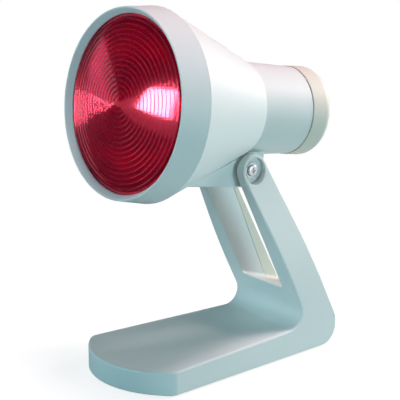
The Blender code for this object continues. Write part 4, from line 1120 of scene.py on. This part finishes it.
front_spigot = cone_rear_radius - SHADE_WALL - FIT_GAP
rear_spigot = cap_radius - SHADE_WALL - FIT_GAP
shelf_low = reach_and_radius("socket_bracket")[0] + FIT_GAP
shelf_radius = reach_and_radius("socket_body")[1] + SHELF_CLEARANCE
round_part("neck_moulding", "neck_housing", "head", white_plastic, head_place, [
    (front_spigot, CONE_REAR_REACH + SPIGOT_LENGTH),
    (front_spigot, CONE_REAR_REACH - FIT_GAP),
    (NECK_FRONT_RADIUS, CONE_REAR_REACH - FIT_GAP, SEAM_ROUND),
    (NECK_REAR_RADIUS, neck_rear, SEAM_ROUND),
    (rear_spigot, neck_rear),
    (rear_spigot, neck_rear - SPIGOT_LENGTH),
    (rear_spigot - SPIGOT_WALL, neck_rear - SPIGOT_LENGTH),
    (rear_spigot - SPIGOT_WALL, shelf_low),
    (shelf_radius, shelf_low),
    (shelf_radius, shelf_low + SHADE_WALL),
    (front_spigot - SPIGOT_WALL, shelf_low + SHADE_WALL),
    (front_spigot - SPIGOT_WALL, CONE_REAR_REACH + SPIGOT_LENGTH)])

# %% [markdown]
# ## The end cap and its vents
#
# The lamp runs hot, so the cap behind the neck has a ring of slots. A ring of equal slots is a
# rule, and a Geometry Nodes tree makes it: one slot is a rounded rectangle with a depth, copies of
# it stand on a circle, each turned to the centre, and a Boolean takes them out of the cap.

# %% A tree that cuts a ring of slots
def build_slots_tree():
    sizes = ["Inner Radius", "Outer Radius", "Width", "Level", "Depth"]
    tree, given, made = geometry_group(
        "ring_of_slots", {"Count": "Int", **dict.fromkeys(sizes, "Float")})
    outline = make(tree, "GeometryNodeCurvePrimitiveQuadrilateral", {
        "Width": given["Outer Radius"] - given["Inner Radius"], "Height": given["Width"]})
    soft = make(tree, "GeometryNodeFilletCurve", {
        "Curve": outline, "Count": 10, "Radius": given["Width"] * 0.499}, mode="POLY")
    face = make(tree, "GeometryNodeFillCurve", {0: soft}, mode="NGONS")
    raised = make(tree, "GeometryNodeExtrudeMesh", {
        "Mesh": face, "Offset Scale": given["Depth"], "Individual": False})
    floor = make(tree, "GeometryNodeFlipFaces", {0: face})
    both = make(tree, "GeometryNodeJoinGeometry", {0: [raised, floor]})
    slot = make(tree, "GeometryNodeMergeByDistance", {0: both, "Distance": MERGE_DISTANCE})
    circle = make(tree, "GeometryNodeMeshCircle", {
        "Vertices": given["Count"],
        "Radius": (given["Outer Radius"] + given["Inner Radius"]) * 0.5})
    angle = make(tree, "GeometryNodeInputIndex") * math.tau / given["Count"]
    copies = make(tree, "GeometryNodeInstanceOnPoints", {
        "Points": circle, "Instance": slot, "Rotation": vector(tree, Z=angle)})
    lifted = make(tree, "GeometryNodeTransform", {
        0: make(tree, "GeometryNodeRealizeInstances", {0: copies}),
        "Translation": vector(tree, Z=given["Level"])})
    vented = make(tree, "GeometryNodeMeshBoolean", {
        0: given["Geometry"], 1: lifted}, operation="DIFFERENCE", solver="EXACT")
    return end_group(tree, vented, given, made)


# %% Build the end cap
CAP_EDGE_RADIUS = 0.0065
VENT_COUNT = 12
VENT_INNER_RADIUS = 0.0090
VENT_OUTER_RADIUS = 0.0215
VENT_WIDTH = 0.0026
VENT_EDGE_RADIUS = 0.0003


def build_cap():
    inner_radius = cap_radius - SHADE_WALL
    floor = cap_rear + SHADE_WALL
    profile = rounded([
        (0, floor), (inner_radius, floor, CAP_EDGE_RADIUS - SHADE_WALL),
        (inner_radius, cap_front), (cap_radius, cap_front, SEAM_ROUND),
        (cap_radius, cap_rear, CAP_EDGE_RADIUS), (0, cap_rear)])
    cap = grow(turned("end_cap", profile), build_slots_tree(), {
        "Count": VENT_COUNT, "Inner Radius": VENT_INNER_RADIUS, "Outer Radius": VENT_OUTER_RADIUS,
        "Width": VENT_WIDTH, "Level": cap_rear - OVERRUN, "Depth": 2 * OVERRUN,
        "Finish": ivory_plastic})
    return smooth(lay(bevel(cap, VENT_EDGE_RADIUS, 2), head_place))


dress(build_cap(), "head", ivory_plastic, "rear_cap")

# %% [markdown]
# ## The pod
#
# Under the cone a block drops between the fork's arms and takes the bolt. It is a side view with
# a rounded corner, bevelled, with the shade's own shape cut out of its top so that it
# fits the cone closely.

# %% Build the pod
POD_DROP = 0.0125
POD_FRONT_REACH = 0.0500
POD_WALL = 0.0024
POD_BOSS_RADIUS = 0.0075
POD_EDGE_RADIUS = 0.0010
POD_BORE_GAP = 0.0004


def build_pod():
    outline = rounded([
        (-POD_FRONT_REACH, -POD_DROP), (POD_DROP, -POD_DROP, POD_DROP),
        (POD_DROP, AXIS_HEIGHT), (-POD_FRONT_REACH, AXIS_HEIGHT)])
    pod = lay(side_slab("pod_moulding", outline, pod_half_width), pod_place)
    pod = bevel(pod, POD_EDGE_RADIUS, clamp=True)
    saddle_rear = cone_rear_radius + FIT_GAP
    saddle = turned("saddle", [
        (0, bezel_seam), (cone_front_radius + FIT_GAP, bezel_seam),
        (saddle_rear, CONE_REAR_REACH - FIT_GAP), (saddle_rear, neck_rear), (0, neck_rear)])
    front = POD_WALL - POD_FRONT_REACH
    floor = POD_WALL - POD_DROP
    inside = side_slab("inside", [
        (front, floor), (-POD_BOSS_RADIUS, floor), (-POD_BOSS_RADIUS, AXIS_HEIGHT),
        (front, AXIS_HEIGHT)], pod_half_width - POD_WALL)
    pod = cut(pod, lay(saddle, head_place), lay(inside, pod_place), bolt_bore(POD_BORE_GAP))
    return smooth(clean(pod))


dress(build_pod(), "head", white_plastic, "pivot_pod")

# %% [markdown]
# ## The ribbed glass
#
# The front glass is a shallow dome with sixteen rings pressed into it. Every ring has a long
# flank that faces outward and a short one that faces the centre, and this lopsided shape is what
# throws the bright fan of lines to one side. The surface follows a formula in the radius alone, so
# Geometry Nodes bend a flat grid into it: one way along the grid is the radius, the
# other is the angle. The rim and the back are a turned blank that the tree joins on.

# %% A tree that presses rings into a dome
RING_SOFTNESS = 0.12


def build_rings_tree():
    counts = ["Ring Count", "Steps per Ring", "Eye Steps", "Spokes"]
    sizes = [
        "Field Radius", "Eye Radius", "Ring Depth", "Long Flank", "Crown", "Edge Height", "Level"]
    tree, given, made = geometry_group(
        "pressed_rings", {**dict.fromkeys(counts, "Int"), **dict.fromkeys(sizes, "Float")})
    eye_steps = given["Eye Steps"]
    field_radius = given["Field Radius"]
    long_flank = given["Long Flank"]
    ring_steps = given["Ring Count"] * given["Steps per Ring"]
    steps = ring_steps + eye_steps
    grid = make(tree, "GeometryNodeMeshGrid", {
        "Size X": steps, "Size Y": math.tau,
        "Vertices X": steps + 1.0, "Vertices Y": given["Spokes"] + 1.0})
    flat = make(tree, "ShaderNodeSeparateXYZ", {0: make(tree, "GeometryNodeInputPosition")})
    count = flat["X"] + steps * 0.5
    past_eye = (count - eye_steps).step("MAXIMUM", 0.0)
    in_eye = count.step("MINIMUM", eye_steps) / eye_steps
    field = field_radius - given["Eye Radius"]
    radius = past_eye / ring_steps * field + in_eye * given["Eye Radius"]

    phase = (past_eye / given["Steps per Ring"]).step("FRACT")
    short_side = (1.0 - phase) / (1.0 - long_flank)
    groove = (phase / long_flank).step("SMOOTH_MIN", short_side, RING_SOFTNESS)

    rise = given["Crown"] - given["Edge Height"]
    dome = (field_radius ** 2.0 + rise ** 2.0) / (rise * 2.0)
    drop = dome - (dome ** 2.0 - radius ** 2.0).step("SQRT")
    height = given["Level"] + given["Crown"] - drop - groove * given["Ring Depth"]

    place = vector(
        tree, X=radius * flat["Y"].step("COSINE"), Y=radius * flat["Y"].step("SINE"), Z=height)
    bent = make(tree, "GeometryNodeSetPosition", {0: grid, "Position": place})
    both = make(tree, "GeometryNodeJoinGeometry", {0: [bent, given["Geometry"]]})
    merged = make(tree, "GeometryNodeMergeByDistance", {0: both, "Distance": MERGE_DISTANCE})
    return end_group(tree, merged, given, made)


# %% Build the glass
GLASS_CROWN = 0.0078
GLASS_EDGE_STEP = 0.0022
GLASS_THICKNESS = 0.0026
GLASS_RIM_THICKNESS = 0.0032
GLASS_SHARP_ANGLE = math.radians(50)
SHOULDER_WIDTH = 0.0009
SHOULDER_ROUND = 0.0008
SHOULDER_REACH = 0.0030
INSIDE_STEPS = 16
RING_FIELD_MARGIN = 0.0035
RING_EYE_RADIUS = 0.00216
RING_COUNT = 16
RING_DEPTH = 0.0005
RING_STEPS = 15
EYE_STEPS = 12
LONG_FLANK = 0.80
SPOKES = 256
ring_field_radius = visible_radius - RING_FIELD_MARGIN


def dome_height(radius):
    rise = GLASS_CROWN - GLASS_EDGE_STEP
    dome_radius = (ring_field_radius ** 2 + rise ** 2) / (2 * rise)
    return GLASS_CROWN - dome_radius + math.sqrt(dome_radius ** 2 - radius ** 2)


def build_glass():
    rim_rear = glass_reach - GLASS_RIM_THICKNESS
    edge = glass_reach + GLASS_EDGE_STEP
    shoulder_radius = ring_field_radius + SHOULDER_WIDTH
    inside_radius = ring_field_radius - GLASS_THICKNESS
    shoulder = rounded([
        (ring_field_radius, edge), (shoulder_radius, edge, SHOULDER_ROUND),
        (shoulder_radius, glass_reach, SHOULDER_ROUND),
        (ring_field_radius + SHOULDER_REACH, glass_reach)])
    radii = [inside_radius * step / INSIDE_STEPS for step in range(INSIDE_STEPS, -1, -1)]
    inside = [(radius, glass_reach + dome_height(radius) - GLASS_THICKNESS) for radius in radii]
    rim = [(LAMP_RADIUS, glass_reach), (LAMP_RADIUS, rim_rear), (inside_radius, rim_rear)]
    blank = spun("ribbed_glass", shoulder + rim + inside, SPOKES, closed=False)
    glass = grow(blank, build_rings_tree(), {
        "Field Radius": ring_field_radius, "Eye Radius": RING_EYE_RADIUS,
        "Ring Count": RING_COUNT, "Steps per Ring": RING_STEPS, "Eye Steps": EYE_STEPS,
        "Spokes": SPOKES, "Ring Depth": RING_DEPTH, "Long Flank": LONG_FLANK,
        "Crown": GLASS_CROWN, "Edge Height": GLASS_EDGE_STEP, "Level": glass_reach,
        "Finish": ruby_glass})
    shape = bmesh.new()
    shape.from_mesh(glass.data)
    bmesh.ops.recalc_face_normals(shape, faces=shape.faces)
    shape.to_mesh(glass.data)
    shape.free()
    glass = smooth(measure(glass), weighted=False, sharp_angle=GLASS_SHARP_ANGLE)
    return lay(glass, head_place)


dress(build_glass(), "head", ruby_glass, "lamp_lens")

# %% [markdown]
# ## The silvered bowl and the inside of the lamp
#
# Behind the glass a silvered bowl narrows to the lamp's screw cap. Its profile is a smooth curve
# through a few radii, so that it mirrors without facets. The filament, its leads and the holder
# keep the measured model's shapes and only get their finishes.

# %% Build the bowl and finish the inner pieces
LAMP_LENGTH = 0.1360
LAMP_RIM_HEIGHT = 0.0080
TIP_HEIGHT = 0.0016
INSULATOR_HEIGHT = 0.0030
SCREW_CAP_LENGTH = 0.0235
SCREW_CAP_RADIUS = 0.0131
BOWL_WALL = 0.0018
BOWL_NECK_RADIUS = 0.0175
BOWL_SHARES = (
    (0, 0.965), (0.16, 0.90), (0.34, 0.78), (0.52, 0.62), (0.68, 0.45), (0.78, 0.335),
    (0.86, 0.288))
CURVE_STEPS = 8


def smooth_curve(points):
    """A curve through points, by the Catmull-Rom rule."""
    ends = [2 * points[0] - points[1]] + points + [2 * points[-1] - points[-2]]
    curved = []
    for before, start, end, after in zip(ends, ends[1:], ends[2:], ends[3:]):
        for step in range(CURVE_STEPS):
            t = step / CURVE_STEPS
            curved.append(0.5 * (
                2 * start + (end - before) * t
                + (2 * before - 5 * start + 4 * end - after) * t ** 2
                + (3 * start - before - 3 * end + after) * t ** 3))
    return curved + [points[-1]]


def bowl_outline(inset):
    """The bowl behind the glass, as (radius, reach) from its rim to its neck."""
    rim_rear = glass_reach - LAMP_RIM_HEIGHT
    lamp_rear = glass_reach + GLASS_CROWN - LAMP_LENGTH
    neck_end = lamp_rear + TIP_HEIGHT + INSULATOR_HEIGHT + SCREW_CAP_LENGTH + FIT_GAP
    depth = rim_rear - neck_end
    curved = smooth_curve([
        Vector((LAMP_RADIUS * radius - inset, rim_rear - depth * drop))
        for drop, radius in BOWL_SHARES])
    return [
        (LAMP_RADIUS - inset, glass_reach - GLASS_RIM_THICKNESS - FIT_GAP),
        (LAMP_RADIUS - inset, rim_rear), *curved,
        (BOWL_NECK_RADIUS - inset, neck_end + SCREW_CAP_LENGTH / 4),
        (SCREW_CAP_RADIUS + BOWL_WALL / 2 - inset, neck_end)]


bowl = turned("reflector_bowl", bowl_outline(0) + bowl_outline(BOWL_WALL)[::-1])
dress(smooth(lay(bowl, head_place), weighted=False), "head", silvering, "lamp_bowl")
kept_finishes = {
    "base_plate": grey_plastic, "lamp_seat_ring": black_rubber, "lamp_screw_cap": nickel,
    "lamp_tip": nickel, "lamp_insulator": black_glass, "lamp_stem": clear_glass,
    "lamp_lead_left": nickel, "lamp_lead_right": nickel, "lamp_filament": tungsten,
    "socket_body": glazed_ceramic, "socket_shell": nickel, "socket_contact": nickel,
    "socket_bracket": zinc_steel, "socket_screw_1": zinc_steel, "socket_screw_2": zinc_steel}
for node, finish in kept_finishes.items():
    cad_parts[node].material_slots[0].material = finish
print("measured nodes that keep their shape", len(kept_finishes))

# %% [markdown]
# ## The floor, the light and the white background
#
# The lamp stands on a pale floor. Five soft lights were balanced against each other until the
# faces took the greys of the photograph: a warm one overhead, a strong one behind, a low cool one
# on the right, a cool one in front and a weak one on the left. The background is white to the
# camera, to gloss and through glass, and only there: for the light that falls on the lamp the
# surroundings are a dim, cool grey. A small card of light before the glass gives its rings their
# highlights.

# %% Floor and world
FLOOR_HALF_SIZE = 4.0
SHADOW_REACH = 0.22
FADE_REACH = 0.65
WHITE = (1, 1, 1, 1)


def background_rays(tree):
    """1 for the rays that should see a white background, 0 for the ones that light the lamp."""
    path = make(tree, "ShaderNodeLightPath")
    seen = path["Is Camera Ray"] + path["Is Glossy Ray"] + path["Is Transmission Ray"]
    return seen.step("MINIMUM", 1.0)


def build_floor():
    """A sheet with a soft shadow near the lamp that fades to plain white."""
    material, tree, shader = new_material("pale_floor")
    tree.nodes.remove(shader)
    matt = make(tree, "ShaderNodeBsdfDiffuse", {"Color": (0.30, 0.43, 0.43, 1)})
    dim = make(tree, "ShaderNodeBsdfDiffuse", {"Color": (0.34, 0.35, 0.35, 1)})
    lift = make(tree, "ShaderNodeEmission", {"Color": WHITE, "Strength": 0.79})
    white = make(tree, "ShaderNodeEmission", {"Color": WHITE, "Strength": 1.0})
    place = make(tree, "ShaderNodeTexCoord")["Object"]
    reach = make(tree, "ShaderNodeVectorMath", {0: place}, operation="LENGTH")["Value"]
    fade = make(tree, "ShaderNodeMapRange", {
        "Value": reach, "From Min": SHADOW_REACH, "From Max": FADE_REACH},
        interpolation_type="SMOOTHSTEP")
    shadowed = make(tree, "ShaderNodeAddShader", {0: dim, 1: lift})
    seen = make(tree, "ShaderNodeMixShader", {0: fade, 1: shadowed, 2: white})
    fill(tree.nodes["Material Output"], {0: make(tree, "ShaderNodeMixShader", {
        0: background_rays(tree), 1: matt, 2: seen})})
    half = FLOOR_HALF_SIZE
    corners = [(-half, -half, 0), (half, -half, 0), (half, half, 0), (-half, half, 0)]
    floor = mesh_piece("floor", corners, faces=[(0, 1, 2, 3)])
    floor.data.materials.append(material)


def build_world():
    world = bpy.data.worlds.new("studio")
    world.use_nodes = True
    tree = world.node_tree
    tree.nodes.remove(tree.nodes["Background"])
    ambient = make(tree, "ShaderNodeBackground", {
        "Color": (0.60, 0.92, 1.0, 1), "Strength": 0.02})
    white = make(tree, "ShaderNodeBackground", {"Color": WHITE, "Strength": 1.0})
    fill(tree.nodes["World Output"], {0: make(tree, "ShaderNodeMixShader", {
        0: background_rays(tree), 1: ambient, 2: white})})
    bpy.context.scene.world = world


build_floor()
build_world()

# %% [markdown]
# ## Three black flags
#
# Ribbed glass mirrors whatever lies before it, and in an all-white room it turns milky. A
# photographer hangs black flags above and below and leaves a bright gap between them. The rings at
# the left and right then mirror the gap, and the ones at the top and bottom mirror black. A third
# flag stands where the foot's top face would mirror the white background. The flags are seen by
# reflections and through glass only, so they cast no shadow.

# %% Build the flags
FLAG_DISTANCE = 1.3
FLAG_HALF_WIDTH = 1.7
GAP_AZIMUTH = math.radians(-49)
GAP_TOP = math.radians(12)
GAP_BOTTOM = math.radians(-9)
FLAG_TOP = 1.3
FLAG_LEVEL = 0.0015
BEHIND_AZIMUTH = math.radians(-128.45)
BEHIND_HEIGHT = 0.75
BEHIND_HALF_WIDTH = 0.8
UP = Vector((0, 0, 1))

black_cloth, _, cloth_shader = new_material("black_cloth")
fill(cloth_shader, {"Base Color": (0.02, 0.02, 0.02, 1), "Roughness": 1.0})


def build_flag(name, near_edge, far_edge, azimuth=GAP_AZIMUTH, half_width=FLAG_HALF_WIDTH):
    """A flat flag between two edges that run across a direction."""
    across = Vector((math.cos(azimuth), math.sin(azimuth), 0)) * half_width
    corners = [near_edge - across, near_edge + across, far_edge + across, far_edge - across]
    flag = mesh_piece(name, corners, faces=[(0, 1, 2, 3)])
    flag.data.materials.append(black_cloth)
    flag.visible_camera = flag.visible_diffuse = flag.visible_shadow = False


glass_centre = head_place @ Vector((0, 0, glass_reach))
gap_edge = glass_centre + direction(GAP_AZIMUTH, GAP_TOP) * FLAG_DISTANCE
build_flag("flag_above", gap_edge, glass_centre + UP * FLAG_TOP)
floor_reach = (glass_centre.z - FLAG_LEVEL) / math.tan(-GAP_BOTTOM)
under_glass = Vector((glass_centre.x, glass_centre.y, FLAG_LEVEL))
build_flag("flag_below", under_glass, under_glass + direction(GAP_AZIMUTH, 0) * floor_reach)
behind = direction(BEHIND_AZIMUTH, 0) * FLAG_DISTANCE
build_flag(
    "flag_behind", behind + UP * FLAG_LEVEL, behind + UP * BEHIND_HEIGHT, BEHIND_AZIMUTH,
    BEHIND_HALF_WIDTH)
print("gap between the flags, degrees", round(math.degrees(GAP_TOP - GAP_BOTTOM)))

# %% Lamps
def soft_light(
        name, place, size, power, colour, target=(0, 0, 0.12), diffuse=True, gloss=True):
    light = add_object(name, bpy.data.lights.new(name, "AREA"))
    light.data.shape = "RECTANGLE"
    light.data.size, light.data.size_y = size
    light.data.energy = power
    light.data.color = colour
    light.visible_camera = False
    light.visible_diffuse = diffuse
    light.visible_glossy = gloss
    aim(light, Vector(place), Vector(target))
    print("light", name, power)


soft_light("overhead", (0.10, 0.10, 1.35), (0.35, 0.35), 7.6, (1.0, 0.73, 0.80))
soft_light("rear", (0.2, 1.3, 0.6), (0.6, 0.6), 16.2, (1.0, 0.86, 0.84))
soft_light(
    "low_right", (1.3, 0.45, 0.14), (0.4, 0.2), 6.3, (0.62, 0.93, 0.98), target=(0, 0.06, 0.05))
soft_light("front", (0.1, -1.3, 0.5), (0.8, 0.8), 7.8, (0.48, 0.87, 0.98), gloss=False)
soft_light("left", (-1.3, -0.35, 0.25), (0.5, 0.5), 3.5, (0.88, 0.96, 1.0), gloss=False)
soft_light(
    "glass_card", (-0.30, -1.2, 0.38), (0.28, 0.28), 16.5, (1.0, 0.98, 0.94),
    target=(0, -0.08, 0.17), diffuse=False)

# %% [markdown]
# ## Finish
#
# The scene's colours are shown through the Standard view transform.

# %% Finish
bpy.context.scene.view_settings.view_transform = "Standard"
